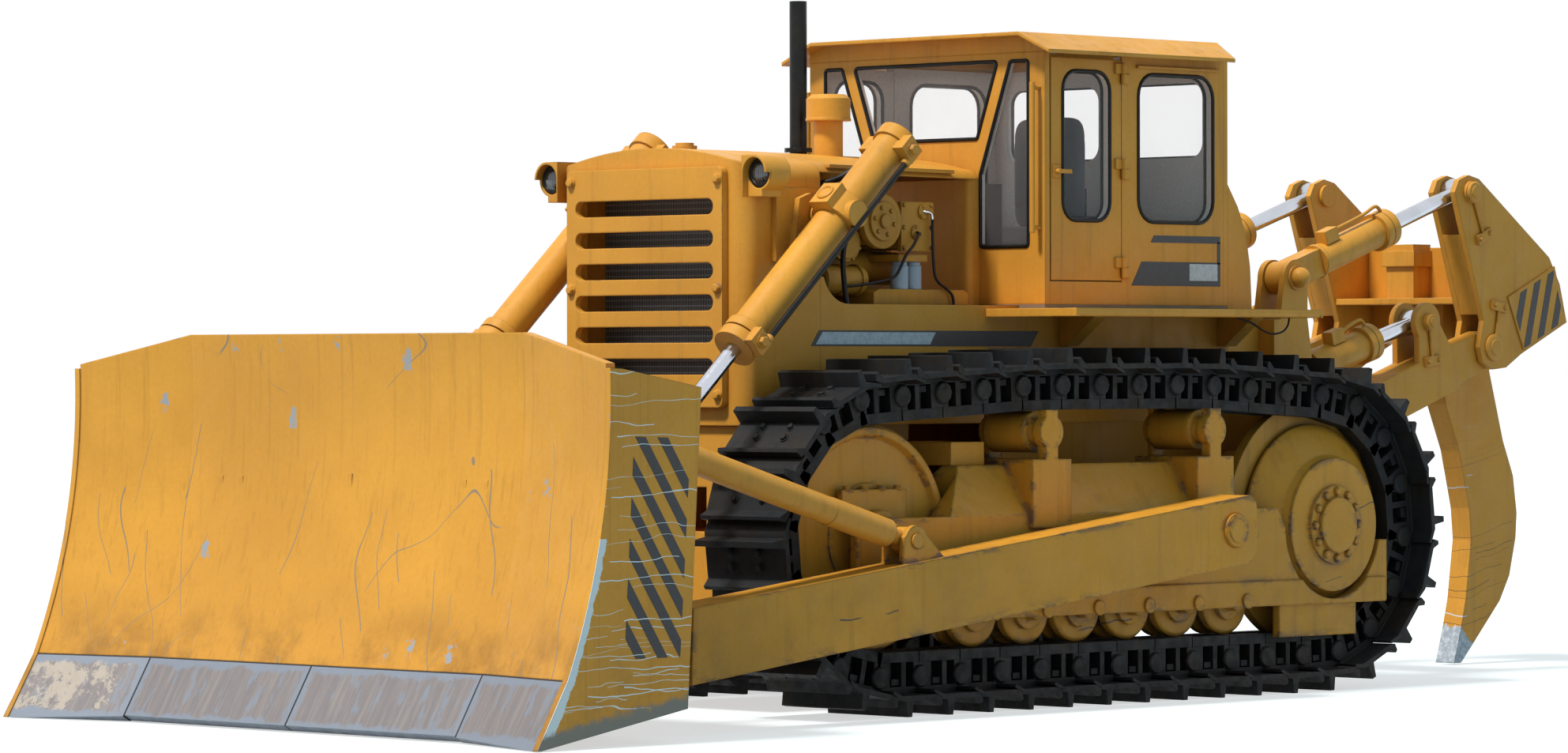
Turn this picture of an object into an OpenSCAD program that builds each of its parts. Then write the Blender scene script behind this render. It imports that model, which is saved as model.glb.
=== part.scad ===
// Crawler bulldozer with a semi-U blade in front and a single-shank ripper behind.
// Sizes are in millimetres. +X is forward, +Y is the left side, +Z is up, and Z = 0 is the ground.

/* [Tracks] */
// Distance between the middles of the two tracks
track_gauge = 2260; // [2220:10:2300]
// Width of a track shoe
shoe_w = 610; // [560:10:610]
// Shoes in each track
shoe_n = 38; // [37:1:39]
// Radius at which the chain pins go round the sprocket and the idler
pin_r = 773; // [768:1:778]
// Distance from the sprocket to the idler
wheelbase = 3781; // [3761:1:3801]
// Height of the carrier-roller hump over the straight run
carrier_rise = 66; // [40:1:80]
// From the pin line out to the grouser's tip
grouser_reach = 203; // [180:1:203]
// From the pin line out to the face of the shoe plate
plate_reach = 118; // [110:1:125]
// Thickness of a shoe plate
plate_t = 34; // [24:1:40]
// From the pin line in to the rail
rail_reach = 148; // [140:1:152]
// Width of one rail of the chain
rail_w = 105; // [95:1:106]
// Clear width between the two rails
rail_gap = 90; // [86:1:96]

/* [Undercarriage] */
// Radius of a track roller
roller_r = 198; // [190:1:198]
// Least gap between two track rollers
roller_gap = 24; // [20:1:32]
// Foremost track roller from the idler
roller_setback = 829; // [825:1:850]
// Rearmost track roller from the sprocket
roller_rear = 802; // [795:1:815]
// Radius of a carrier roller
carrier_r = 116; // [100:1:118]
// Top of the track frame
frame_top = 1361; // [1330:1:1380]
// Where the track frame's sloping face ends
frame_shoulder = 1085; // [1060:1:1110]
// Lower edge of the track frame's side plates
frame_bottom = 522; // [500:1:540]
// Outer half-width of a track frame
frame_half_w = 240; // [236:1:244]
// Thickness of a track frame's side plate
frame_plate = 50; // [44:1:52]
// Radius of the final-drive case
drive_r = 392; // [360:1:400]
// Radius of the blade-arm trunnion
trunnion_r = 95; // [80:1:105]

/* [Blade] */
// Overall width of the blade
blade_w = 4300; // [4200:10:4400]
// Half-width of the straight middle of the blade
blade_mid = 1335; // [1300:1:1360]
// Height of the blade's top edge at the middle
blade_top = 2092; // [2040:1:2140]
// Height of the blade's top edge at its ends
blade_end_top = 1924; // [1880:1:1960]
// How far the blade's ends come forward of its middle
wing_forward = 168; // [120:1:200]
// How much lower the blade's outer tips are than its middle edge
tip_droop = 33; // [0:1:33]
// Radius of the moldboard's curve
face_r = 3500; // [3300:10:3700]
// Thickness of the moldboard
face_t = 60; // [40:1:70]
// Thickness of the blade's end plates
end_t = 40; // [30:1:50]
// Thickness of the cutting edges
edge_t = 60; // [40:1:65]
// Outer face of a push arm from the middle
arm_outer = 1725; // [1715:1:1740]
// Width of a push arm
arm_w = 240; // [220:1:245]
// Diameter of a diagonal brace
brace_d = 150; // [130:1:154]
// Lowest blade angle below rest, degrees
blade_drop = 5.5; // [3:0.5:5.5]
// Highest blade angle above rest, degrees
blade_raise = 12; // [8:0.5:12]

/* [Blade lift cylinders] */
// Distance of each lift cylinder from the middle
lift_y = 980; // [970:1:990]
// Diameter of a lift barrel
lift_barrel_d = 210; // [190:1:220]
// Diameter of a lift rod
lift_rod_d = 85; // [75:1:95]

/* [Radiator guard and hood] */
// Half-width of the radiator guard
guard_half_w = 737; // [730:1:740]
// Front face of the grille door
door_face_x = 2516; // [2500:1:2530]
// Height of the hood's crown
crown_z = 3127; // [3110:1:3140]
// Thickness of the guard's plates
guard_t = 25; // [20:1:30]
// Number of slots in the grille door
slot_n = 6; // [5:1:6]
// Height of a grille slot
slot_h = 88; // [70:1:95]
// Spacing of the grille slots
slot_pitch = 176; // [168:1:178]

/* [Cab] */
// Half-width of the cab
cab_half_w = 940; // [930:1:950]
// Front face of the cab
cab_front_x = 242; // [236:1:246]
// Rear face of the cab
cab_rear_x = -1356; // [-1366:1:-1350]
// Top of the cab walls
cab_top_z = 3712; // [3708:1:3730]
// Thickness of the cab's side walls and doors
wall_t = 60; // [50:1:60]
// Thickness of the cab's front and rear walls
front_t = 40; // [36:1:40]
// Height of the roof
roof_h = 112; // [105:1:125]
// Thickness of the glass
glass_t = 12; // [8:1:14]
// How far a door opens, degrees
door_open = 100; // [60:5:120]

/* [Ripper] */
// Distance of the ripper cylinders from the middle
ripper_y = 583; // [578:1:588]
// Length of the lower link between its pins, along the machine
link_dx = 1690; // [1680:1:1700]
// Rise of the lower link between its pins
link_dz = 550; // [540:1:560]
// Diameter of the ripper barrels
ripper_barrel_d = 190; // [170:1:190]
// Diameter of the ripper rods
ripper_rod_d = 96; // [80:1:100]
// Thickness of the shank
shank_t = 150; // [120:1:150]
// Lowest link angle below rest, degrees
ripper_drop = 30; // [20:1:30]
// Highest link angle above rest, degrees
ripper_raise = 9; // [5:1:9]
// Tilt of the carriage each way, degrees
ripper_tilt = 10; // [5:1:10]

/* [Clearances] */
// Play between pieces that touch or turn
fit = 0.3; // [0.2:0.1:0.5]
// Radial play of a pin in its bore
pin_fit = 0.1; // [0.05:0.01:0.1]
// Side room of an eye between its ears
eye_room = 6; // [5:1:8]

/* [Hidden] */
$fn = 64;
paint = [0.86, 0.58, 0.13];
dark = [0.16, 0.17, 0.19];
steel = [0.42, 0.43, 0.45];
chrome = [0.82, 0.83, 0.85];
engine_paint = [0.62, 0.45, 0.16];
glass = [0.32, 0.29, 0.27, 0.45];

// Driving points, as [x, z] in the plane of the side view
sprocket_x = -1806;
axle_z = pin_r + grouser_reach;
sprocket = [sprocket_x, axle_z];
idler = [sprocket_x + wheelbase, axle_z];
track_y = track_gauge / 2;
trunnion = [-502, 977];
lift_pivot = [door_face_x - 551, 2750];
blade_back_x = idler[0] + 1975;
lift_eye = [blade_back_x - 70, 1013];
link_front = [-2513, 1476];
link_rear = link_front + [-link_dx, link_dz];
tilt_base = [-2284, 2445];
tilt_eye = tilt_base + [-link_dx, link_dz];
rip_lift_base = [-2330, 1850];
rip_lift_eye = [-3550, 2180];
link_angle = atan2(link_dz, link_dx);

// Blade section, with x measured forward from where the face stands upright
face_z = 1760;
edge_top = 348;
edge_low = 38;
edge_x = face_r - sqrt(face_r * face_r - (face_z - edge_top) * (face_z - edge_top));
edge_angle = 31.2;
mid_face_x = idler[0] + 2665;
wing_w = blade_w / 2 - blade_mid;
wing_angle = atan2(wing_forward, wing_w);
tip_x = edge_x + (edge_top - edge_low + tip_droop) * tan(edge_angle);
blade_tip_x = mid_face_x + wing_forward + tip_x;
shank_rear_x = -5227;
frame_shift = -(blade_tip_x + shank_rear_x) / 2;

// Moves the driving points so that the frame's origin is under the middle of the machine
module place() {
    translate([frame_shift, 0, 0])
    children();
}

// Helpers: extrusions along the axes, pins and mirrored pairs
module yext(y0, y1) {
    translate([0, y1, 0])
    rotate([90, 0, 0])
    linear_extrude(y1 - y0)
    children();
}

module xext(x0, x1) {
    translate([x0, 0, 0])
    rotate([90, 0, 90])
    linear_extrude(x1 - x0)
    children();
}

module zext(z0, z1) {
    translate([0, 0, z0])
    linear_extrude(z1 - z0)
    children();
}

module box(x, y, z) {
    translate([x[0], y[0], z[0]])
    cube([x[1] - x[0], y[1] - y[0], z[1] - z[0]]);
}

module ypin(p, r, y0, y1) {
    translate([p[0], y1, p[1]])
    rotate([90, 0, 0])
    cylinder(h = y1 - y0, r = r);
}

module xpin(x0, x1, y, z, r) {
    translate([x0, y, z])
    rotate([0, 90, 0])
    cylinder(h = x1 - x0, r = r);
}

module zpin(x, y, z0, z1, r) {
    translate([x, y, z0])
    cylinder(h = z1 - z0, r = r);
}

module pair() {
    children();
    mirror([0, 1, 0]) children();
}

// A round bar along a line in the side view, from s0 to s1 beyond point p
module bar(p, ang, y, s0, s1, r) {
    translate([p[0], y, p[1]])
    rotate([0, 90 - ang, 0])
    translate([0, 0, s0])
    cylinder(h = s1 - s0, r = r);
}

// A block in the same line, with x across it in the side view
module barbox(p, ang, y, x, yy, s) {
    translate([p[0], y, p[1]])
    rotate([0, 90 - ang, 0])
    box(x, yy, s);
}

// A rectangle with round corners
module rrect(x, z, r) {
    translate([x[0] + r, z[0]]) square([x[1] - x[0] - 2 * r, z[1] - z[0]]);
    translate([x[0], z[0] + r]) square([x[1] - x[0], z[1] - z[0] - 2 * r]);
    for (a = [x[0] + r, x[1] - r], b = [z[0] + r, z[1] - r])
        translate([a, b]) circle(r);
}

function polar(r, a) = r * [cos(a), sin(a)];
function mix(a, b, t) = a + (b - a) * t;
function along(p, ang, a, n) = p + a * [cos(ang), sin(ang)] + n * [-sin(ang), cos(ang)];

// Track path: idler arc, three straight upper runs over the carrier rollers, sprocket arc, ground run
carrier_x = [idler[0] - 1285, sprocket_x + 1096];
hump_z = axle_z + pin_r + carrier_rise;
hump = [[carrier_x[0], hump_z], [carrier_x[1], hump_z]];
a_idler = atan2(hump[0][1] - idler[1], hump[0][0] - idler[0]) - acos(pin_r / norm(hump[0] - idler));
a_sprocket = atan2(hump[1][1] - sprocket[1], hump[1][0] - sprocket[0]) + acos(pin_r / norm(hump[1] - sprocket));
top_idler = idler + polar(pin_r, a_idler);
top_sprocket = sprocket + polar(pin_r, a_sprocket);
len_1 = pin_r * (a_idler + 90) * PI / 180;
len_2 = len_1 + norm(hump[0] - top_idler);
len_3 = len_2 + norm(hump[1] - hump[0]);
len_4 = len_3 + norm(top_sprocket - hump[1]);
len_5 = len_4 + pin_r * (270 - a_sprocket) * PI / 180;
len_all = len_5 + wheelbase;
chain_pitch = len_all / shoe_n;
half_turn = chain_pitch / pin_r * 90 / PI;

function path(s) =
    s < len_1 ? idler + polar(pin_r, -90 + (a_idler + 90) * s / len_1) :
    s < len_2 ? mix(top_idler, hump[0], (s - len_1) / (len_2 - len_1)) :
    s < len_3 ? mix(hump[0], hump[1], (s - len_2) / (len_3 - len_2)) :
    s < len_4 ? mix(hump[1], top_sprocket, (s - len_3) / (len_4 - len_3)) :
    s < len_5 ? sprocket + polar(pin_r, a_sprocket + (270 - a_sprocket) * (s - len_4) / (len_5 - len_4)) :
    [sprocket[0] + (s - len_5), sprocket[1] - pin_r];

pins = [for (i = [0:shoe_n]) path(i == shoe_n ? 0 : i * chain_pitch)];
function link_at(i, t, n) =
    let (p = pins[i], q = pins[i + 1], d = (q - p) / norm(q - p))
    (p + q) / 2 + t * d + n * [d[1], -d[0]];
function ring(points) = [for (i = [0:shoe_n - 1]) for (p = points) link_at(i, p[0], p[1])];

half = chain_pitch / 2;
shoe_outline = ring([[-half + 8, plate_reach], [half - 116, plate_reach], [half - 110, grouser_reach],
    [half - 72, grouser_reach], [half - 66, plate_reach], [half - 8, plate_reach]]);
shoe_inside = ring([[-half + 30, plate_reach - plate_t], [half - 30, plate_reach - plate_t]]);
rail_outside = ring([[-half + 30, plate_reach - plate_t + 4], [half - 30, plate_reach - plate_t + 4]]);
rail_inside = ring([[-half + 40, -rail_reach], [half - 40, -rail_reach]]);
rail_out = rail_gap / 2 + rail_w;
tread_r = pin_r * cos(half_turn) - rail_reach - fit;

module tracks() color(dark) pair() translate([0, track_y, 0]) {
    yext(-shoe_w / 2, shoe_w / 2) difference() {
        polygon(shoe_outline);
        polygon(shoe_inside);
    }
    for (s = [-1, 1]) yext(s * (rail_gap + rail_w) / 2 - rail_w / 2, s * (rail_gap + rail_w) / 2 + rail_w / 2)
        difference() {
            polygon(rail_outside);
            polygon(rail_inside);
        }
}

// Turns a half-profile of [radius, y] points about a cross axle
module wheel_at(p, y) {
    translate([p[0], y, p[1]])
    rotate([-90, 0, 0])
    rotate_extrude($fn = 96)
    children();
}

inner_half = frame_half_w - frame_plate;
idler_half = 85;
module idlers() color(paint) pair() wheel_at(idler, track_y) {
    polygon([[0, -inner_half + fit], [150, -inner_half + fit], [150, -idler_half], [300, -72], [300, -58],
        [tread_r - 58, -52], [tread_r - 42, -idler_half], [tread_r, -idler_half], [tread_r, -rail_gap / 2 + 5],
        [tread_r + 25, -rail_gap / 2 + 10], [tread_r + 25, rail_gap / 2 - 10], [tread_r, rail_gap / 2 - 5],
        [tread_r, idler_half], [tread_r - 42, idler_half], [tread_r - 58, 52], [300, 58], [300, 72],
        [150, idler_half], [150, inner_half - fit], [0, inner_half - fit]]);
}

tooth_phase = a_sprocket;
module sprockets() color(steel) pair() translate([0, track_y, 0]) difference() {
    union() {
        ypin(sprocket, pin_r - 58, 12 - rail_gap / 2, rail_gap / 2 - 12);
        yext(12 - rail_gap / 2, rail_gap / 2 - 12) for (i = [0:shoe_n - 1]) {
            m = link_at(i, 0, 0);
            if (m[0] < sprocket_x + 40 && norm(m - sprocket) < pin_r)
                polygon([link_at(i, -75, -75), link_at(i, 75, -75), link_at(i, 28, 20), link_at(i, -28, 20)]);
        }
    }
    ypin(sprocket, 300, -rail_gap, rail_gap);
}

module final_drives() color(paint) pair() {
    wheel_at(sprocket, 0)
    polygon([[0, hull_half_w], [430, hull_half_w], [430, track_y - 50], [299.7, track_y - 50], [299.7, track_y + 50],
        [590, track_y + 50], [590, track_y + 66], [560, track_y + 90], [drive_r + 20, track_y + 188],
        [drive_r, track_y + 225], [drive_r, track_y + 245],
        [232, track_y + 245], [232, track_y + 265], [162, track_y + 265], [162, track_y + 290],
        [0, track_y + 290]]);
}

roller_span = wheelbase - roller_setback - roller_rear;
roller_n = floor(roller_span / (2 * roller_r + roller_gap)) + 1;
roller_pitch = roller_span / (roller_n - 1);
roller_x = [for (i = [0:roller_n - 1]) idler[0] - roller_setback - i * roller_pitch];
rail_z = grouser_reach + rail_reach;
roller_z = rail_z + roller_r + fit;

ledge_out = frame_half_w + 16;
carrier_gap = rail_out + 15;
module track_rollers() color(paint) pair() {
    for (x = roller_x) {
        wheel_at([x, roller_z], track_y)
        polygon([[0, -inner_half + fit], [60, -inner_half + fit], [60, -120], [113, -120], [113, -92],
            [roller_r - 18, -92], [roller_r, -82], [roller_r, -rail_gap / 2 + 5], [150, -34], [150, 34],
            [roller_r, rail_gap / 2 - 5], [roller_r, 82], [roller_r - 18, 92], [113, 92], [113, 120], [60, 120],
            [60, inner_half - fit], [0, inner_half - fit]]);
        ypin([x, roller_z], 44, track_y + ledge_out, track_y + ledge_out + 14);
    }
    for (x = carrier_x) wheel_at([x, carrier_z], track_y)
        polygon([[0, -carrier_gap], [60, -carrier_gap], [60, -rail_out - 5], [carrier_r, -rail_out - 5],
            [carrier_r, rail_out + 5], [78, rail_out + 5], [78, carrier_gap + 40], [0, carrier_gap + 40]]);
}

carrier_z = hump_z - rail_reach - carrier_r - 6;
side_plate = [[sprocket_x - 498, frame_bottom], [idler[0] + 175, frame_bottom], [idler[0] + 255, 800],
    [idler[0] + 255, 1000], [idler[0] + 170, frame_shoulder], [sprocket_x + 506, frame_shoulder],
    [sprocket_x + 386, 879], [sprocket_x - 498, 879]];
frame_low = roller_z + roller_r + 30;
slope_in = 60;
carrier_base = [frame_shoulder - 75, frame_top + 31];
carrier_out = frame_half_w + 30;

module track_frames() color(paint) pair() translate([0, track_y, 0]) {
    difference() {
        intersection() {
            xext(sprocket_x + 826, idler[0] - 485)
            polygon([[-frame_half_w, frame_low], [frame_half_w, frame_low], [frame_half_w, frame_shoulder],
                [slope_in, frame_top], [-slope_in, frame_top], [-frame_half_w, frame_shoulder]]);
            yext(-frame_half_w - 1, frame_half_w + 1)
            polygon([[sprocket_x + 826, frame_low], [idler[0] - 485, frame_low], [idler[0] - 485, frame_shoulder],
                [idler[0] - 735, frame_top], [sprocket_x + 900, frame_top], [sprocket_x + 826, frame_top - 120]]);
        }
        box([idler[0] - 690, idler[0]], [-idler_half - 5, idler_half + 5], [frame_low - 1, frame_top + 1]);
    }
    difference() {
        union() {
            for (s = [-1, 1])
                yext(s > 0 ? inner_half : -frame_half_w, s > 0 ? frame_half_w : -inner_half)
                polygon(side_plate);
            box([sprocket_x - 207, sprocket_x + 492], [inner_half, frame_half_w], [327, frame_bottom + 1]);
            box([sprocket_x - 472, idler[0] - 640], [frame_half_w - 1, ledge_out], [frame_bottom - 8, 660]);
        }
        ypin(sprocket, 436, -frame_half_w - 1, frame_half_w + 20);
    }
    for (s = [0, 1]) mirror([0, s, 0]) difference() {
        union() {
            box([idler[0] - 253, idler[0] + 170], [idler_half + 3, inner_half + 1], [frame_shoulder - 40, frame_shoulder]);
            box([idler[0] - 253, idler[0] + 253], [idler_half + 3, idler_half + 40], [frame_shoulder - 40, 1242]);
        }
        ypin(idler, 150 + fit, 0, 300);
    }
    for (x = carrier_x) {
        box([x - 160, x + 160], [-carrier_gap - 40, carrier_out], [frame_shoulder, carrier_base[1]]);
        box([x - 160, x + 160], [inner_half, carrier_out], carrier_base);
        for (y = [[-carrier_gap - 40, -carrier_gap], [carrier_gap + 40, carrier_out]]) yext(y[0], y[1]) {
            translate([x, carrier_z]) circle(94);
            translate([x - 49, carrier_base[1] - 1]) square([98, carrier_z + 125 - carrier_base[1]]);
        }
    }
    ypin(trunnion, trunnion_r + 40, frame_half_w, arm_outer - arm_w - track_y - eye_room);
    ypin(trunnion, trunnion_r, frame_half_w - 1, arm_outer - track_y + 20);
    ypin(trunnion, trunnion_r - 25, frame_half_w - 1, arm_outer - track_y + 30);
}

// Hull: main frame with the rear case, the equaliser bar and the pivot shaft
hull_half_w = 600;
deck_z = 2242;
panel_z = 2262;
guard_rear_x = 1866;
guard_low = 1590;
hull_rear_x = -2040;

module main_frame() color(paint) {
    difference() {
        box([hull_rear_x, cab_front_x], [-hull_half_w, hull_half_w], [620, deck_z]);
        box([hull_rear_x + 140, cab_front_x + 1], [-hull_half_w + 80, hull_half_w - 80], [1000, deck_z - 60]);
    }
    box([cab_front_x, door_face_x - 76], [-560, 560], [620, 1000]);
    for (s = [-1, 1]) box([cab_front_x, door_face_x - 76], s > 0 ? [420, 560] : [-560, -420], [1000, 1250]);
    box([guard_rear_x, door_face_x - 76], [-guard_half_w, guard_half_w], [1250, guard_low]);
    box([960, 1230], [-track_y, track_y], [frame_top, frame_top + 130]);
    box([960, 1230], [-420, 420], [1000, frame_top]);
    for (s = [-1, 1]) ypin([-760, 1000], 110, s > 0 ? 599 : -track_y + frame_half_w,
        s > 0 ? track_y - frame_half_w : -599);
}

module engine() color(engine_paint) {
    box([700, 1700], [-300, 300], [frame_top + 130, 2380]);
    box([760, 1640], [-220, 220], [2380, 2700]);
    box([800, 1600], [-150, 150], [2700, 2760]);
    for (s = [-1, 1]) xpin(720, 1680, s * 290, 2480, 85);
    ypin([1215, 2731], 130, 219, 560);
    ypin([1215, 2731], 155, 545, 590);
    ypin([1215, 2731], 110, 590, 606);
    ypin([1215, 2731], 40, 606, 622);
    box([792, 1035], [219, 560], [2577, 2834]);
    box([780, 1047], [545, 575], [2565, 2846]);
    box([860, 1095], [219, 600], [2506, 2546]);
    yext(299, 600) polygon([[520, 2262], [1298, 2262], [1298, 2330], [1250, 2350], [560, 2350], [520, 2330]]);
    xpin(1297, 1632, 480, 2400, 80);
    for (x = [1320, 1460, 1600]) xpin(x, x + 26, 480, 2400, 90);
    box([1297, 1560], [299, 480], [2330, 2400]);
    ypin([1440, 2614], 96, 219, 540);
    ypin([1440, 2614], 112, 500, 528);
}

module oil_filters() color([0.72, 0.76, 0.82]) {
    for (x = [924, 1032]) {
        zpin(x, 545, 2350, 2482, 50);
        zpin(x, 545, 2482, 2506, 44);
    }
}

// Arch of the guard and hood in the front view
module arch(w, low, crown, side) {
    rise = crown - side;
    r = ((w - 100) * (w - 100) + rise * rise) / (2 * rise);
    translate([-w, low]) square([2 * w, side - 100 - low]);
    translate([-w + 100, low]) square([2 * w - 200, side - low]);
    for (s = [-1, 1]) translate([s * (w - 100), side - 100]) circle(100);
    intersection() {
        translate([0, crown - r]) circle(r, $fn = 200);
        translate([-w + 100, side - 60]) square([2 * w - 200, rise + 80]);
    }
}

guard_front_x = door_face_x - 46;
guard_side_z = 3051;
cap_x = guard_rear_x + 330;
module radiator_guard() color(paint) {
    guard_shell();
    zpin(cap_x, 0, crown_z - 15, crown_z + 20, 70);
    zpin(cap_x, 0, crown_z + 19, crown_z + 36, 52);
}

module guard_shell() difference() {
    intersection() {
        xext(guard_rear_x, guard_front_x) arch(guard_half_w, guard_low, crown_z, guard_side_z);
        zext(guard_low - 10, crown_z + 10) difference() {
            rrect([guard_rear_x - 300, guard_front_x], [-guard_half_w, guard_half_w], 110);
            translate([guard_rear_x - 400, -1000]) square([400, 2000]);
        }
    }
    xext(guard_rear_x - 1, guard_front_x - 60)
    arch(guard_half_w - guard_t, guard_low + guard_t, crown_z - guard_t, guard_side_z - guard_t);
    xext(guard_front_x - 70, guard_front_x + 10)
    rrect([-560, 560], [1730, 2960], 60);
}

module grille_door() color(paint) difference() {
    xext(guard_front_x, door_face_x) rrect([-621, 621], [1689, 3013], 40);
    for (i = [0:slot_n - 1]) xext(guard_front_x - 1, door_face_x + 1)
        rrect([-550, 550], [2838 - slot_h - i * slot_pitch, 2838 - i * slot_pitch], slot_h / 2 - 0.5);
}

module radiator_core() color(dark)
    box([guard_front_x - 440, guard_front_x - 340], [-guard_half_w + guard_t, guard_half_w - guard_t],
        [guard_low + guard_t, 2900]);

hood_t = 20;
hood_low = 2990;
hood_end_w = 432;
hood_turn = atan2(guard_half_w - hood_end_w, guard_rear_x - cab_front_x);
stack = [1090, -200];
stack_r = 50;
cleaner = [1150, 100];
cleaner_r = 83;
// One half of the hood, turned about the guard's corner so that it narrows towards the cab
module hood_half() intersection() {
    translate([guard_rear_x, guard_half_w, 0])
    rotate([0, 0, hood_turn])
    translate([-guard_rear_x, -guard_half_w, 0]) {
        xext(cab_front_x - 300, guard_rear_x + 200) difference() {
            arch(guard_half_w, hood_low - 200, crown_z, guard_side_z);
            arch(guard_half_w - hood_t, hood_low - 300, crown_z - hood_t, guard_side_z - hood_t);
            translate([-1000, hood_low - 310]) square([2000, 310]);
        }
        box([cab_front_x + 250, guard_rear_x - 90], [guard_half_w - 56, guard_half_w + 4], [hood_low + 26, hood_low + 46]);
    }
    box([cab_front_x, guard_rear_x], [0, 1000], [hood_low - 10, crown_z + 50]);
}
module hood() color(paint) difference() {
    pair() hood_half();
    zpin(stack[0], stack[1], 2900, 3300, stack_r + fit);
    zpin(cleaner[0], cleaner[1], 2900, 3300, cleaner_r + fit);
}

cowl_x = cab_front_x + 95;
cowl_r = 45;
module cowl() color(paint) {
    zext(panel_z, hood_low) {
        polygon([[cab_front_x, -hood_end_w], [cab_front_x, hood_end_w], [cowl_x - cowl_r, hood_end_w],
            [cowl_x - cowl_r, -hood_end_w]]);
        translate([cab_front_x + 10, -hood_end_w + cowl_r]) square([cowl_x - cab_front_x - 10, 2 * (hood_end_w - cowl_r)]);
        for (s = [-1, 1]) translate([cowl_x - cowl_r, s * (hood_end_w - cowl_r)]) circle(cowl_r);
    }
    box([cab_front_x, 700], [guard_t - guard_half_w, guard_half_w - guard_t], [panel_z - 20, panel_z]);
}

module side_panels() color(paint) pair() difference() {
    yext(guard_half_w - guard_t, guard_half_w) difference() {
        polygon([[guard_rear_x, guard_low], [guard_rear_x, 2412], [1846, 2412], [1640, panel_z],
            [cab_front_x, panel_z], [cab_front_x, deck_z], [-1600, deck_z], [-1600, guard_low + 300],
            [-1300, guard_low]]);
        translate([1640, 2468]) circle(206);
    }
}

module exhaust_stack() color([0.1, 0.1, 0.11]) difference() {
    union() {
        zpin(stack[0], stack[1], 2760, 4009, stack_r);
        zpin(stack[0], stack[1], crown_z + 15, crown_z + 40, stack_r + 30);
    }
    zpin(stack[0], stack[1], 2800, 4100, stack_r - 8);
}

module air_cleaner() color(paint) {
    zpin(cleaner[0], cleaner[1], 2760, 3330, cleaner_r);
    zpin(cleaner[0], cleaner[1], 3311, 3438, 126);
    zpin(cleaner[0], cleaner[1], 3311, 3326, 130);
    translate([cleaner[0], cleaner[1], 3437]) cylinder(h = 25, r1 = 126, r2 = 100);
}

lamp_at = [guard_half_w + 92, 2972];
module lamp_visors() color(paint) pair() difference() {
    xext(2290, 2480) {
        translate(lamp_at) circle(98);
        translate([guard_half_w, lamp_at[1] - 98]) square([92, 196]);
        translate([guard_half_w, lamp_at[1] - 130]) square([120, 60]);
    }
    xext(2310, 2490) translate(lamp_at) circle(84);
    xext(2280, 2490) translate([guard_half_w - 60, lamp_at[1] - 140]) square([60, 280]);
    xext(2440, 2490) translate([lamp_at[0] - 84, lamp_at[1] - 140]) square([300, 140]);
}

module headlamps() color([0.85, 0.86, 0.88]) pair()
    xpin(2310, 2425, lamp_at[0], lamp_at[1], 76);

module fenders() color(paint) pair() {
    box([-1638, 522], [guard_half_w, 1435], [deck_z - 18, deck_z]);
    xpin(-1638, 522, 1411, deck_z - 24, 24);
    box([504, 522], [guard_half_w, 1435], [deck_z - 48, deck_z - 17]);
    box([-1638, -1620], [guard_half_w, 1435], [deck_z - 48, deck_z - 17]);
    for (x = [-1600, -200]) gusset(x, x + 105);
}

module gusset(x0, x1) {
    xext(x0, x1) polygon([[guard_half_w, 2030], [guard_half_w + 60, 2030], [1010, deck_z - 48],
        [1010, deck_z - 17], [guard_half_w, deck_z - 17]]);
}

floor_t = 26;
sill_z = deck_z + floor_t;
module cab_floor() color(dark)
    box([cab_rear_x, cab_front_x], [-cab_half_w, cab_half_w], [deck_z, sill_z]);

shield = [[-573, 3665], [573, 3665], [413, 3224], [-413, 3224]];
corner_pane = [[672, 3663], [812, 3663], [812, 2600], [437, 2600], [437, 3017]];
module front_openings() {
    polygon(shield);
    polygon(corner_pane);
    mirror([1, 0]) polygon(corner_pane);
}

rail_x = cab_front_x + 62;
rail_z0 = 2674;
rail_z1 = 3534;
module cab_front() color(paint) {
    difference() {
        box([cab_front_x - front_t, cab_front_x], [-cab_half_w, cab_half_w], [sill_z, cab_top_z]);
        xext(cab_front_x - front_t - 1, cab_front_x + 1) front_openings();
    }
    pair() {
        zpin(rail_x, cab_half_w - 42, rail_z0, rail_z1, 16);
        for (z = [rail_z0 + 30, rail_z1 - 30]) xpin(cab_front_x - 1, rail_x, cab_half_w - 42, z, 13);
    }
}

module glass_front() color(glass) xext(cab_front_x - 28, cab_front_x - 28 + glass_t) front_openings();

door_x = [-412, 190];
door_z = [2406, cab_top_z - 30];
jamb_x = -417;
door_pane_x = [-315, 91];
pane_z = [2750, 3608];
side_pane_x = [-1225, -562];
hinge_y = cab_half_w + 18;
hinge_z = [2482, 3052, 3603];
cab_inside = [cab_rear_x + front_t, cab_front_x - front_t];

module cab_sides() color(paint) pair() {
    difference() {
        box(cab_inside, [cab_half_w - wall_t, cab_half_w], [sill_z, cab_top_z]);
        box([jamb_x, cab_inside[1] + 1], [cab_half_w - wall_t - 1, cab_half_w + 1], [2400, cab_top_z + 1]);
        yext(cab_half_w - wall_t - 1, cab_half_w + 1) rrect(side_pane_x, pane_z, 130);
    }
    box([side_pane_x[0] - 40, side_pane_x[1] + 20], [cab_half_w - 1, cab_half_w + 22], [3640, 3656]);
    for (z = hinge_z) {
        zpin(jamb_x, hinge_y, z - 60, z - fit, 16);
        box([jamb_x - 60, jamb_x - 4], [cab_half_w, cab_half_w + 14], [z - 60, z - fit]);
    }
}

module glass_sides() color(glass) pair()
    yext(cab_half_w - 36, cab_half_w - 36 + glass_t) rrect(side_pane_x, pane_z, 130);

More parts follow.
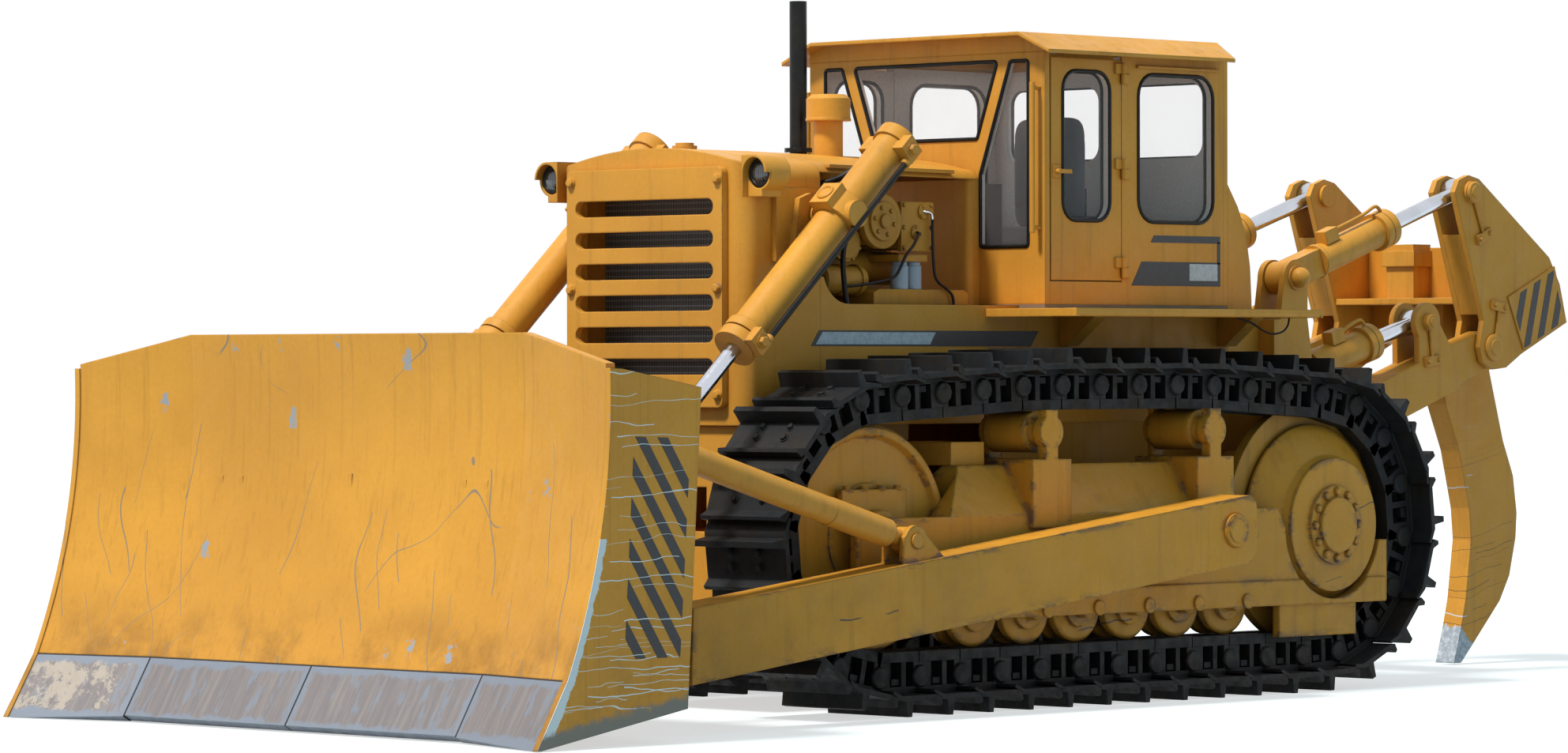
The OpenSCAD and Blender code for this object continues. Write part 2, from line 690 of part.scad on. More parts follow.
module door_panel() {
    difference() {
        box(door_x, [cab_half_w - wall_t, cab_half_w], door_z);
        yext(cab_half_w - wall_t - 1, cab_half_w + 1) rrect(door_pane_x, pane_z, 110);
    }
    for (z = hinge_z) {
        zpin(jamb_x, hinge_y, z, z + 60, 16);
        box([jamb_x + 8, jamb_x + 64], [cab_half_w - 1, cab_half_w + 14], [z, z + 60]);
    }
    box([120, 176], [cab_half_w - 1, cab_half_w + 12], [2990, 3066]);
    ypin([152, 3028], 14, cab_half_w, cab_half_w + 46);
    box([60, 166], [cab_half_w + 34, cab_half_w + 46], [3016, 3040]);
}

module door_pane() yext(cab_half_w - 36, cab_half_w - 36 + glass_t) rrect(door_pane_x, pane_z, 110);

module door_left() color(paint) door_panel();
module door_right() color(paint) mirror([0, 1, 0]) door_panel();
module door_glass_left() color(glass) door_pane();
module door_glass_right() color(glass) mirror([0, 1, 0]) door_pane();

rear_pane = [[42, 780], [3148, 3590]];
module rear_openings() {
    rrect(rear_pane[0], rear_pane[1], 90);
    mirror([1, 0]) rrect(rear_pane[0], rear_pane[1], 90);
}

module cab_rear() color(paint) difference() {
    box([cab_rear_x, cab_rear_x + front_t], [-cab_half_w, cab_half_w], [sill_z, cab_top_z]);
    xext(cab_rear_x - 1, cab_rear_x + front_t + 1) rear_openings();
}

module glass_rear() color(glass) xext(cab_rear_x + 14, cab_rear_x + 14 + glass_t) rear_openings();

eave_w = cab_half_w + 130;
bend_w = cab_half_w - 110;
eave_z = cab_top_z + 4;
roof_t = 22;
roof_fall = (cab_top_z + roof_h - eave_z) / (eave_w - bend_w);
function roof_under(y) = cab_top_z + roof_h - roof_t - max(0, y - bend_w) * roof_fall;
module roof_plate() {
    polygon([[-eave_w, eave_z], [-bend_w, cab_top_z + roof_h], [bend_w, cab_top_z + roof_h], [eave_w, eave_z],
        [eave_w, roof_under(eave_w)], [bend_w, roof_under(bend_w)], [-bend_w, roof_under(bend_w)],
        [-eave_w, roof_under(eave_w)]]);
}
module cab_roof() color(paint) {
    difference() {
        xext(cab_rear_x - 34, cab_front_x + 108) roof_plate();
        pair() zext(cab_top_z - 200, cab_top_z + 200)
        polygon([[cab_rear_x - 34, bend_w], [cab_rear_x + 80, eave_w], [cab_rear_x + 80, eave_w + 50],
            [cab_rear_x - 90, eave_w + 50], [cab_rear_x - 90, bend_w]]);
    }
    difference() {
        xext(cab_rear_x, cab_front_x)
        polygon([[-cab_half_w, cab_top_z], [cab_half_w, cab_top_z], [cab_half_w, roof_under(cab_half_w)],
            [bend_w, roof_under(bend_w)], [-bend_w, roof_under(bend_w)], [-cab_half_w, roof_under(cab_half_w)]]);
        xext(cab_inside[0] + 30, cab_inside[1] - 30)
        polygon([[-850, cab_top_z - 1], [850, cab_top_z - 1], [850, roof_under(850)], [bend_w, roof_under(bend_w)],
            [-bend_w, roof_under(bend_w)], [-850, roof_under(850)]]);
    }
}

module seat_base() color(dark) {
    box([-900, -420], [-230, 230], [sill_z, sill_z + 330]);
    box([-960, -900], [-180, 180], [sill_z, sill_z + 700]);
}

module seat_cushion() color([0.3, 0.31, 0.34]) {
    box([-900, -380], [-270, 270], [sill_z + 330, sill_z + 470]);
    box([-900, -780], [-260, 260], [sill_z + 470, sill_z + 1120]);
}

module controls() color(dark) {
    box([40, cab_inside[1]], [-420, 420], [sill_z, sill_z + 700]);
    for (s = [-1, 1]) box([-800, -300], s > 0 ? [420, 600] : [-600, -420], [sill_z, sill_z + 520]);
    for (y = [-520, 500]) zpin(-380, y, sill_z + 519, sill_z + 720, 14);
}

module fuel_tank() color(paint) yext(-cab_half_w, cab_half_w)
    polygon([[cab_rear_x, deck_z], [-1575, deck_z], [-1573, 2300], [-1560, 2500], [-1523, 2692],
        [-1450, 2850], [cab_rear_x, 2984]]);

// Lift-cylinder brackets on the guard's sides
lift_length = norm(lift_eye - lift_pivot);
lift_angle = atan2(lift_eye[1] - lift_pivot[1], lift_eye[0] - lift_pivot[0]);
lift_collar = 150;
module lift_brackets() color(paint) pair() difference() {
    union() {
        box([1880, 2250], [guard_half_w, guard_half_w + 40], [2490, 2900]);
        yext(guard_half_w + 39, lift_y - 160)
        translate(lift_pivot)
        polygon([[-135, -230], [195, -230], [145, 90], [55, 120], [-55, 120], [-145, 90]]);
    }
    ypin(lift_pivot, 60 + pin_fit, guard_half_w + 40, lift_y);
}

port_out = lift_barrel_d / 2 + 62;
module lift_barrels() color(paint) pair() difference() {
    union() {
        bar(lift_pivot, lift_angle, lift_y, -641, 1101, lift_barrel_d / 2);
        bar(lift_pivot, lift_angle, lift_y, -641, -560, lift_barrel_d / 2 + 14);
        bar(lift_pivot, lift_angle, lift_y, 960, 1020, lift_barrel_d / 2 + 18);
        bar(lift_pivot, lift_angle, lift_y, 1030, 1101, lift_barrel_d / 2 + 18);
        bar(lift_pivot, lift_angle, lift_y, -75, 75, lift_barrel_d / 2 + 26);
        barbox(lift_pivot, lift_angle, lift_y, [-160, -60], [-70, 70], [-80, 80]);
        for (s = [-600, 985]) barbox(lift_pivot, lift_angle, lift_y, [-55, 65], [80, port_out], [s, s + 110]);
        barbox(lift_pivot, lift_angle, lift_y, [-55, 65], [-port_out, -80], [-600, -490]);
        ypin(lift_pivot, 60, guard_half_w + 41, lift_y);
        ypin(lift_pivot, 75, lift_y - 150, lift_y + 150);
    }
    bar(lift_pivot, lift_angle, lift_y, -560, 1200, lift_rod_d / 2 + pin_fit);
}

lift_eye_w = 120;
module lift_rods() color(chrome) pair() {
    bar(lift_pivot, lift_angle, lift_y, 80, lift_length - 60, lift_rod_d / 2);
    ypin(lift_eye, 100, lift_y - lift_eye_w / 2, lift_y + lift_eye_w / 2);
}

// Where the back of a cutting edge sits on the moldboard: its upper and lower ends
function edge_seat(k) =
    let (a = atan(tan(edge_angle) * k), t = edge_t + fit,
        d = [edge_x * k - t * cos(a), edge_top + fit - t * sin(a)])
    [d, [d[0] + (d[1] - 175) * tan(a), 175]];
end_seat = edge_seat(cos(wing_angle));

// Blade: a section is drawn with x forward from the face's upright line
module face_section(k) {
    r = ((face_z - edge_top) * (face_z - edge_top) + edge_x * edge_x * k * k) / (2 * edge_x * k);
    back = [for (z = [175, 760, 1350, 1810]) [z, -537 - 99 * (z - 175) / 1635]];
    seat = edge_seat(k);
    difference() {
        union() {
            intersection() {
                translate([r, face_z]) circle(r + face_t, $fn = 400);
                translate([-200, edge_top + fit]) square([edge_x * k + 200, blade_top - edge_top - fit]);
            }
            polygon([[back[0][1] * k, 175], seat[1], seat[0], [edge_x * k, edge_top + fit], [edge_x * k, 760], [back[1][1] * k, 760]]);
            polygon([[back[2][1] * k, 1350], [60, 1350], [60, 1810], [back[3][1] * k, 1810]]);
        }
        translate([r, face_z]) circle(r, $fn = 400);
        polygon([[(back[0][1] + 35) * k, 210], [edge_x * k - 70, 210], [edge_x * k - 150, edge_top],
            [40, 725], [(back[1][1] + 35) * k, 725]]);
        polygon([[(back[2][1] + 35) * k, 1385], [-62, 1385], [-66, 1775], [(back[3][1] + 35) * k, 1775]]);
    }
}

module wing_frame() {
    translate([mid_face_x, blade_mid, 0])
    rotate([0, 0, -wing_angle])
    children();
}

ear_in = lift_eye_w / 2 + eye_room;
module moldboard() color(paint) {
    translate([mid_face_x, 0, 0]) yext(-blade_mid, blade_mid) face_section(1);
    for (y = [0]) translate([mid_face_x, 0, 0]) yext(y - 15, y + 15)
        polygon([[-560, 760], [60, 760], [30, 1350], [-600, 1350]]);
    pair() {
        difference() {
            wing_frame() yext(-300, wing_w * 1.1) face_section(cos(wing_angle));
            box([3500, 6000], [0, blade_mid + fit], [-100, 2500]);
            box([3500, 6000], [blade_w / 2 - end_t - fit, 3000], [-100, 2500]);
            translate([3500, blade_mid, blade_top])
            rotate([-atan2(blade_top - blade_end_top, wing_w), 0, 0])
            cube([2000, 1200, 600]);
        }
        yext(blade_w / 2 - end_t, blade_w / 2) translate([mid_face_x + wing_forward, 0]) {
            difference() {
                polygon([[-636, 1810], [-537, 175], [0, 175], [edge_x + 30, edge_top - 30],
                    [edge_x + 30, blade_end_top], [-80, 1905]]);
                translate([face_r, face_z]) circle(face_r, $fn = 400);
            }
            polygon([[-400, 300], [-537, 175], [tip_x - 25, edge_low - tip_droop], [tip_x, edge_low - tip_droop],
                [edge_x - 20 * tan(edge_angle), edge_top + 20]]);
        }
        for (s = [-1, 1]) yext(lift_y + s * (ear_in + 18) - 18, lift_y + s * (ear_in + 18) + 18) difference() {
            union() {
                polygon([[lift_eye[0] - 90, lift_eye[1] + 60], [lift_eye[0], lift_eye[1] + 120],
                    [mid_face_x + 30, 1330], [mid_face_x + 60, 770], [lift_eye[0], lift_eye[1] - 120],
                    [lift_eye[0] - 90, lift_eye[1] - 60]]);
                translate(lift_eye) circle(115);
            }
        }
        ypin(lift_eye, 62, lift_y + ear_in + 35, lift_y + ear_in + 60);
        ypin(lift_eye, 62, lift_y - ear_in - 60, lift_y - ear_in - 35);
        for (s = [-1, 1]) yext(arm_mid + s * 82 - 25, arm_mid + s * 82 + 25) difference() {
            polygon([[arm_pin[0] - 60, arm_pin[1] + 130], [arm_pin[0] + 220, arm_pin[1] + 190],
                [arm_pin[0] + 270, arm_pin[1] - 200], [arm_pin[0] - 60, arm_pin[1] - 130],
                [arm_pin[0] - 110, arm_pin[1]]]);
            translate(arm_pin) circle(60 + pin_fit);
        }
        for (s = [-1, 1]) yext(arm_mid + s * 65 - 18, arm_mid + s * 65 + 18) difference() {
            polygon([[brace_front[0] - 60, brace_front[1] + 90], [brace_front[0] + 130, brace_front[1] + 140],
                [brace_front[0] + 130, brace_front[1] - 140], [brace_front[0] - 60, brace_front[1] - 90],
                [brace_front[0] - 90, brace_front[1]]]);
            translate(brace_front) circle(40 + pin_fit);
        }
    }
}

edge_a2 = atan(tan(edge_angle) * cos(wing_angle));
edge_len = (edge_top - edge_low) / cos(edge_angle);
edge_tip_len = (edge_top - edge_low + tip_droop) / cos(edge_a2);
module edge_plane(a) {
    rotate([0, -(90 + a), 0])
    rotate([0, 0, 90])
    children();
}

module cutting_edge() color(steel) difference() {
    union() {
        for (y = [-blade_mid, 1]) translate([mid_face_x + edge_x, y, edge_top]) edge_plane(edge_angle)
            linear_extrude(edge_t) square([blade_mid - 1, edge_len]);
        pair() difference() {
            wing_frame() translate([edge_x * cos(wing_angle), 0, edge_top]) edge_plane(edge_a2)
                linear_extrude(edge_t)
                polygon([[-150, 0], [wing_w * 1.1, 0], [wing_w * 1.1, edge_tip_len + 3],
                    [0, edge_len], [-150, edge_len]]);
            box([3500, 6500], [0, blade_mid + 1], [-200, 2500]);
            box([3500, 6500], [blade_w / 2 - end_t - fit, 3000], [-200, 2500]);
        }
    }
    box([3500, 6500], [-3000, 3000], [-300, 5]);
}

// Push arms, from the trunnion to a pin on the blade's back
arm_mid = arm_outer - arm_w / 2;
arm_pin = [blade_back_x, 430];
brace_rear = [idler[0] + 119, 972];
brace_front = [blade_back_x + 10, 1505];
brace_angle = atan2(brace_front[1] - brace_rear[1], brace_front[0] - brace_rear[0]);
module push_arms() color(paint) pair() {
    difference() {
        union() {
            yext(arm_outer - arm_w, arm_outer)
            polygon([[arm_pin[0] - 134, 660], [arm_pin[0] - 122, 259], [-640, 788], [-700, 860], [-712, 980],
                [-690, 1130], [-640, 1174]]);
            yext(arm_mid - 56, arm_mid + 56) translate(arm_pin)
            polygon([[-150, 210], [-50, 130], [90, 50], [90, -50], [10, -120], [-150, -160]]);
            ypin(arm_pin, 110, arm_mid - 56, arm_mid + 56);
            ypin(arm_pin, 60, arm_mid - 112, arm_mid + 112);
            for (s = [-1, 1]) yext(arm_mid + s * 65 - 18, arm_mid + s * 65 + 18) translate(brace_rear) {
                polygon([[-236, -112], [106, -152], [96, 18], [46, 60], [-44, 60]]);
                circle(84);
            }
        }
        yext(arm_outer - arm_w - 1, arm_outer - 40)
        polygon([[brace_rear[0] - 254, 850], [brace_rear[0] - 254, 530], [-260, 780], [-260, 1090]]);
        yext(arm_outer - arm_w - 1, arm_outer - 40)
        polygon([[arm_pin[0] - 190, 627], [arm_pin[0] - 190, 308], [brace_rear[0] - 194, 523],
            [brace_rear[0] - 194, 843]]);
        ypin(trunnion, trunnion_r + pin_fit, arm_outer - arm_w - 1, arm_outer + 1);
        for (s = [-1, 1]) ypin(brace_rear, 40 + pin_fit, arm_mid + s * 65 - 19, arm_mid + s * 65 + 19);
    }
}

module braces() color(paint) pair() {
    bar(brace_rear, brace_angle, arm_mid, 60, norm(brace_front - brace_rear) - 60, 44);
    bar(brace_rear, brace_angle, arm_mid, 160, 625, brace_d / 2 + 3);
    bar(brace_rear, brace_angle, arm_mid, 620, norm(brace_front - brace_rear) - 170, brace_d / 2);
    for (p = [brace_rear, brace_front]) {
        ypin(p, 75, arm_mid - 46, arm_mid + 46);
        ypin(p, 40, arm_mid - 95, arm_mid + 95);
    }
}

// Rear bracket with cheeks for the link and the ripper cylinders
cheek_in = 66;
cheek_t = 40;
module ripper_bracket() color(paint) {
    box([hull_rear_x - 100, hull_rear_x], [-598, 598], [900, deck_z - 50]);
    box([hull_rear_x - 100, hull_rear_x], [-720, 720], [1430, deck_z - 50]);
    pair() for (s = [-1, 1])
        yext(ripper_y + s * (cheek_in + cheek_t / 2) - cheek_t / 2, ripper_y + s * (cheek_in + cheek_t / 2) + cheek_t / 2) {
            polygon([[hull_rear_x - 90, 1430], [-2250, 1400], [-2513, 1336], [-2640, 1420], [-2640, 1540], [-2513, 1616],
                [-2420, 1680], [-2440, 1790], [-2440, 1910], [-2390, 2200], [-2394, 2440], [-2174, 2440],
                [hull_rear_x - 90, 2180]]);
            translate(tilt_base) circle(110);
            translate(link_front) circle(138);
        }
    pair() {
        ypin(link_front, 60, ripper_y - cheek_in - cheek_t - 25, ripper_y + cheek_in + cheek_t + 25);
        ypin(tilt_base, 50, ripper_y - cheek_in - cheek_t - 20, ripper_y + cheek_in + cheek_t + 20);
        ypin(tilt_base, 76, ripper_y + cheek_in + cheek_t, ripper_y + cheek_in + cheek_t + 14);
        translate([tilt_base[0], ripper_y + cheek_in + cheek_t + 34, tilt_base[1]]) sphere(62);
        ypin(rip_lift_base, 50, ripper_y - cheek_in - cheek_t - 20, ripper_y + cheek_in + cheek_t + 20);
    }
}

eye_w = 2 * (cheek_in - eye_room);
rip_angle = 180 - link_angle;
function on_link(a, n) = along(link_front, rip_angle, a, -n);
link_len = norm([link_dx, link_dz]);
box_from = 300;
box_to = 1380;
module ripper_link() color(paint) {
    pair() {
        yext(ripper_y - 106, ripper_y + 106)
        polygon([on_link(box_from, 140), on_link(box_to, 130), on_link(box_to, -140), on_link(box_from, -140)]);
        for (s = [-1, 1]) yext(ripper_y + s * 86 - 20, ripper_y + s * 86 + 20) {
            polygon([on_link(1040, 120), on_link(1120, 380), on_link(1290, 370), on_link(box_to, 120)]);
            translate(rip_lift_eye) circle(122);
        }
        ypin(rip_lift_eye, 55, ripper_y + 105, ripper_y + 130);
        ypin(rip_lift_eye, 55, ripper_y - 130, ripper_y - 105);
    }
    yext(-ripper_y + 100, ripper_y - 100)
    polygon([on_link(420, 110), on_link(900, 110), on_link(900, -110), on_link(420, -110)]);
}
// Solid ends of the link, narrower than its box so that they fit their forks
module ripper_link_ends() color(paint) pair() difference() {
    yext(ripper_y - eye_w / 2, ripper_y + eye_w / 2) {
        polygon([on_link(-60, 110), on_link(280, 140), on_link(box_from, 140), on_link(box_from, -140),
            on_link(280, -140), on_link(-60, -110), on_link(-120, 0)]);
        polygon([on_link(box_to, 130), on_link(link_len, 110), on_link(link_len + 110, 0), on_link(link_len, -120),
            on_link(box_to, -140)]);
    }
    ypin(link_front, 60 + pin_fit, ripper_y - 200, ripper_y + 200);
    ypin(link_rear, 60 + pin_fit, ripper_y - 200, ripper_y + 200);
}

plate_in = 477;
plate_out = 689;
plate_w = 40;
slot_half = (plate_out - plate_in) / 2 - plate_w;
module ripper_pins() color(steel) pair()
    ypin(link_rear, 60, ripper_y - 120, ripper_y + 120);

carriage_outline = [[-3818, 2991], [-3862, 3068], [-3957, 3100], [-4060, 3078], [-4773, 2596], [-4882, 2428],
    [-4953, 2186], [-4486, 1986], [-4330, 1900], [-4203, 1888], [-4100, 1930], [-4066, 2026], [-4106, 2193]];
shank_slot = [shank_t / 2 + fit, 190];
module ripper_plates() color(paint) pair() difference() {
    union() {
        yext(plate_in, plate_in + plate_w) polygon(carriage_outline);
        yext(plate_out - plate_w, plate_out) polygon(carriage_outline);
        ypin(tilt_eye, 70, plate_out - 1, plate_out + 24);
        ypin(tilt_eye, 70, plate_in - 24, plate_in + 1);
    }
    ypin(link_rear, 60 + pin_fit, plate_in - 1, plate_out + 1);
}

module ripper_carriage() color(paint) difference() {
    union() {
        pair() yext(plate_in + plate_w, plate_out - plate_w) {
            polygon([[-4500, 2080], [-4480, 2300], [-4760, 2500], [-4860, 2400], [-4920, 2200], [-4560, 2050]]);
            polygon([[-3912, 2730], [-4092, 2232], [-4150, 2232], [-3970, 2730]]);
        }
        yext(-plate_in, plate_in)
        polygon([[-4440, 2080], [-4420, 2420], [-4760, 2520], [-4880, 2400], [-4920, 2200], [-4560, 2050]]);
        yext(-190, 190)
        polygon([[-4330, 2010], [-4330, 2560], [-4940, 2560], [-4980, 2010]]);
        box([-4440, -4070], [-plate_in, plate_in], [2300, 2340]);
        zext(2340, 2660) polygon([[-4440, -plate_in], [-4440, plate_in], [-4400, plate_in], [-4290, 130],
            [-4290, -130], [-4400, -plate_in]]);
        box([-4300, -4130], [-110, 110], [2300, 2680]);
        box([-4310, -4110], [-130, 130], [2540, 2640]);
    }
    yext(-shank_slot[0], shank_slot[0]) polygon(shank_hole);
}

shank_outline = [[-4430, 2600], [-4480, 1800], [-4495, 1666], [-4634, 1370], [-4735, 1000], [-4755, 798],
    [-4700, 420], [-4649, 231], [-4579, 13], [-4650, 13], [-4744, 102], [-5050, 400], [-5150, 560],
    [-5215, 800], [-5227, 962], [-5190, 1200], [-5084, 1430], [-4945, 1873], [-4860, 2600]];
shank_hole = [[-4428.2, 2700], [-4428.2, 2620], [-4479.6, 1800], [-4479.6, 1700], [-5021, 1700], [-4945.6, 1873],
    [-4858.2, 2620], [-4858.2, 2700]];
module ripper_shank() color(paint) yext(-shank_t / 2, shank_t / 2) polygon(shank_outline);

tilt_head = 1040;
module tilt_barrels() color(paint) pair() difference() {
    union() {
        ypin(tilt_base, 100, ripper_y - eye_w / 2, ripper_y + eye_w / 2);
        yext(ripper_y - eye_w / 2, ripper_y + eye_w / 2)
        polygon([along(tilt_base, rip_angle, 0, 88), along(tilt_base, rip_angle, 330, 84),
            along(tilt_base, rip_angle, 330, -84), along(tilt_base, rip_angle, 0, -88)]);
        bar(tilt_base, rip_angle, ripper_y, 320, tilt_head, ripper_barrel_d / 2);
        bar(tilt_base, rip_angle, ripper_y, 320, 345, ripper_barrel_d / 2 + 10);
        bar(tilt_base, rip_angle, ripper_y, tilt_head - 120, tilt_head - 62, ripper_barrel_d / 2 + 24);
        bar(tilt_base, rip_angle, ripper_y, tilt_head - 56, tilt_head, ripper_barrel_d / 2 + 24);
    }
    ypin(tilt_base, 50 + pin_fit, ripper_y - 100, ripper_y + 100);
    bar(tilt_base, rip_angle, ripper_y, 360, tilt_head + 10, ripper_rod_d / 2 + pin_fit);
}

module tilt_rods() color(chrome) pair() {
    bar(tilt_base, rip_angle, ripper_y, 550, link_len - 50, ripper_rod_d / 2);
    ypin(tilt_eye, 85, ripper_y - slot_half + eye_room, ripper_y + slot_half - eye_room);
}

rip_lift_len = norm(rip_lift_eye - rip_lift_base);
rip_lift_angle = atan2(rip_lift_eye[1] - rip_lift_base[1], rip_lift_eye[0] - rip_lift_base[0]);
rip_lift_head = 810;
module ripper_lift_barrels() color(paint) pair() difference() {
    union() {
        ypin(rip_lift_base, 95, ripper_y - eye_w / 2, ripper_y + eye_w / 2);
        bar(rip_lift_base, rip_lift_angle, ripper_y, 60, 215, 55);
        bar(rip_lift_base, rip_lift_angle, ripper_y, 205, rip_lift_head, ripper_barrel_d / 2);
        bar(rip_lift_base, rip_lift_angle, ripper_y, rip_lift_head - 110, rip_lift_head - 58, ripper_barrel_d / 2 + 22);
        bar(rip_lift_base, rip_lift_angle, ripper_y, rip_lift_head - 52, rip_lift_head, ripper_barrel_d / 2 + 22);
    }
    ypin(rip_lift_base, 50 + pin_fit, ripper_y - 100, ripper_y + 100);
    bar(rip_lift_base, rip_lift_angle, ripper_y, 260, rip_lift_head + 10, ripper_rod_d / 2 + pin_fit);
}

module ripper_lift_rods() color(chrome) pair() {
    bar(rip_lift_base, rip_lift_angle, ripper_y, 480, rip_lift_len - 50, ripper_rod_d / 2);
    ypin(rip_lift_eye, 80, ripper_y - eye_w / 2, ripper_y + eye_w / 2);
}

place() main_frame();
place() engine();
place() oil_filters();
place() radiator_guard();
place() grille_door();
place() radiator_core();
place() hood();
place() cowl();
place() side_panels();
place() exhaust_stack();
place() air_cleaner();
place() lamp_visors();
place() headlamps();
place() fenders();
place() cab_floor();
place() cab_front();
place() cab_sides();
place() cab_rear();
place() cab_roof();
place() glass_front();
place() glass_sides();
place() glass_rear();
place() seat_base();
place() seat_cushion();
place() controls();
place() fuel_tank();
place() track_frames();
place() tracks();
place() idlers();
place() sprockets();
place() final_drives();
place() track_rollers();
place() lift_brackets();
place() ripper_bracket();
place() door_left();
place() door_glass_left();
place() door_right();
place() door_glass_right();
place() moldboard();
place() cutting_edge();
place() push_arms();
place() braces();
place() lift_barrels();
place() lift_rods();
place() ripper_link();
place() ripper_link_ends();
place() ripper_pins();
place() ripper_carriage();
place() ripper_plates();
place() ripper_shank();
place() tilt_barrels();
place() tilt_rods();
place() ripper_lift_barrels();
place() ripper_lift_rods();
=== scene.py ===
"""Look of a crawler bulldozer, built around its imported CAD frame.

Lengths are metres. X runs forward, Y to the machine's left and Z up. Places along X are written from the
maker's datum, which lies ORIGIN_X from the row frame's origin.
"""

from __future__ import annotations

import logging
import math
from dataclasses import dataclass, field
from enum import Enum
from typing import Any, Callable, Sequence

import bmesh
import bpy
import numpy as np
from mathutils import Matrix, Vector


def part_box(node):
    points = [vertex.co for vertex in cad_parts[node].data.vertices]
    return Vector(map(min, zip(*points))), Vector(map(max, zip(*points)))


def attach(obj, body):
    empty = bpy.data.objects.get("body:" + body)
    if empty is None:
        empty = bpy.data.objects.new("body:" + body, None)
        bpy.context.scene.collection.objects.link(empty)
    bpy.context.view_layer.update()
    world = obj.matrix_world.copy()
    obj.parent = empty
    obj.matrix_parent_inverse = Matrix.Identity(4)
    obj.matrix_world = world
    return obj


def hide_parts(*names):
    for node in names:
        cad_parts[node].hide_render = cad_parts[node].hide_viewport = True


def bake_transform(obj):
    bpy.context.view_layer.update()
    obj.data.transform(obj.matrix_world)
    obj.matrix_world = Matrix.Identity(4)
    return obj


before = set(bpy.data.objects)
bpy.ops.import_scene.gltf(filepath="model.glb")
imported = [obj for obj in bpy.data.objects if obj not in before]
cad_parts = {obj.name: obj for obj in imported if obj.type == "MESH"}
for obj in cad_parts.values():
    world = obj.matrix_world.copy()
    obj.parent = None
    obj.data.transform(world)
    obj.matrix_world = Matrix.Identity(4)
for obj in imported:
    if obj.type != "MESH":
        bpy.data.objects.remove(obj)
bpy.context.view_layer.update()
LOG = logging.getLogger("bulldozer")

Array = np.ndarray
Colour = tuple[float, float, float]
Point = tuple[float, float, float]
Pair = tuple[float, float]
Socket = bpy.types.NodeSocket

SPROCKET_X = -1.806
IDLER_X = 1.975
AXLE_Z = 0.976
TRACK_Y = 1.130
ORIGIN_X = (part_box("final_drives")[0].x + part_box("final_drives")[1].x) / 2 - SPROCKET_X
SHIFT = np.array([ORIGIN_X, 0.0, 0.0])
SIDES = (-1, 1)
MARK = 0.002
BAR = 0.004
FINE_SCRATCHES = (19.0, 0.16, 0.2)
SCRATCH_WHITE = (0.90, 0.92, 0.94)
MOTTLE = (0.60, 0.40, 0.13)
WATER_MARK = (0.46, 0.32, 0.14)
GROUND_DUST = (0.50, 0.37, 0.22)
# Colour of the painted shade in corners and hollows.
CORNER_SHADE = (0.33, 0.23, 0.10)
PRIMER = (0.24, 0.27, 0.33)
SCRAPE = (0.22, 0.23, 0.26)
EDGE_LIMITS = (0.012, 0.12)


class Side(Enum):
    """A side of the machine, with the sign of its Y."""

    LEFT = 1
    RIGHT = -1

    @property
    def tag(self) -> str:
        """Name ending for pieces of this side."""
        return self.name.lower()


class Axis(Enum):
    """A main direction, with the columns of a flat outline's two axes and of its normal."""

    X = (1, 2, 0)
    Y = (0, 2, 1)
    Z = (0, 1, 2)


def linear(colour: Colour) -> tuple[float, float, float, float]:
    """Turns a screen colour into linear scene values with full opacity."""
    c = np.asarray(colour, float)
    lin = np.where(c <= 0.04045, c / 12.92, ((c + 0.055) / 1.055) ** 2.4)
    return (float(lin[0]), float(lin[1]), float(lin[2]), 1.0)


def spot(x: float, y: float, z: float) -> Array:
    """Point of the row frame from its place by the maker's datum."""
    return np.array([x, y, z]) + SHIFT


def circle(count: int) -> tuple[Array, Array]:
    """Cosine and sine of evenly spaced turns."""
    turn = np.linspace(0, 2 * np.pi, count, endpoint=False)
    return np.cos(turn), np.sin(turn)


def unit(vector: Any) -> Array:
    """Vector, or rows of vectors, at length 1."""
    v = np.asarray(vector, float)
    return v / np.linalg.norm(v, axis=-1, keepdims=True)


def evenly(line: Array, count: int) -> Array:
    """Points at even distances along a line of points."""
    run = np.concatenate([[0], np.cumsum(np.linalg.norm(np.diff(line, axis=0), axis=1))])
    even = np.linspace(0, run[-1], count)
    return np.stack([np.interp(even, run, column) for column in line.T], 1)


def in_plane(outline: Any, axis: Axis, depth: float) -> Array:
    """Puts a flat outline into space at a depth along an axis."""
    a, b, n = axis.value
    flat = np.asarray(outline, float)
    rows = np.zeros((len(flat), 3))
    rows[:, a], rows[:, b], rows[:, n] = flat[:, 0], flat[:, 1], depth
    return rows


@dataclass(frozen=True)
class Bend:
    """Second body of a piece that crosses a joint. The values are kept, but no body is made to carry the
    piece.

    Args:
        body: Body meant to carry the far end; not used.
        start: Point up to which the first body is meant to carry it.
        end: Point from which the second body is meant to.
    """

    body: str
    start: Point
    end: Point


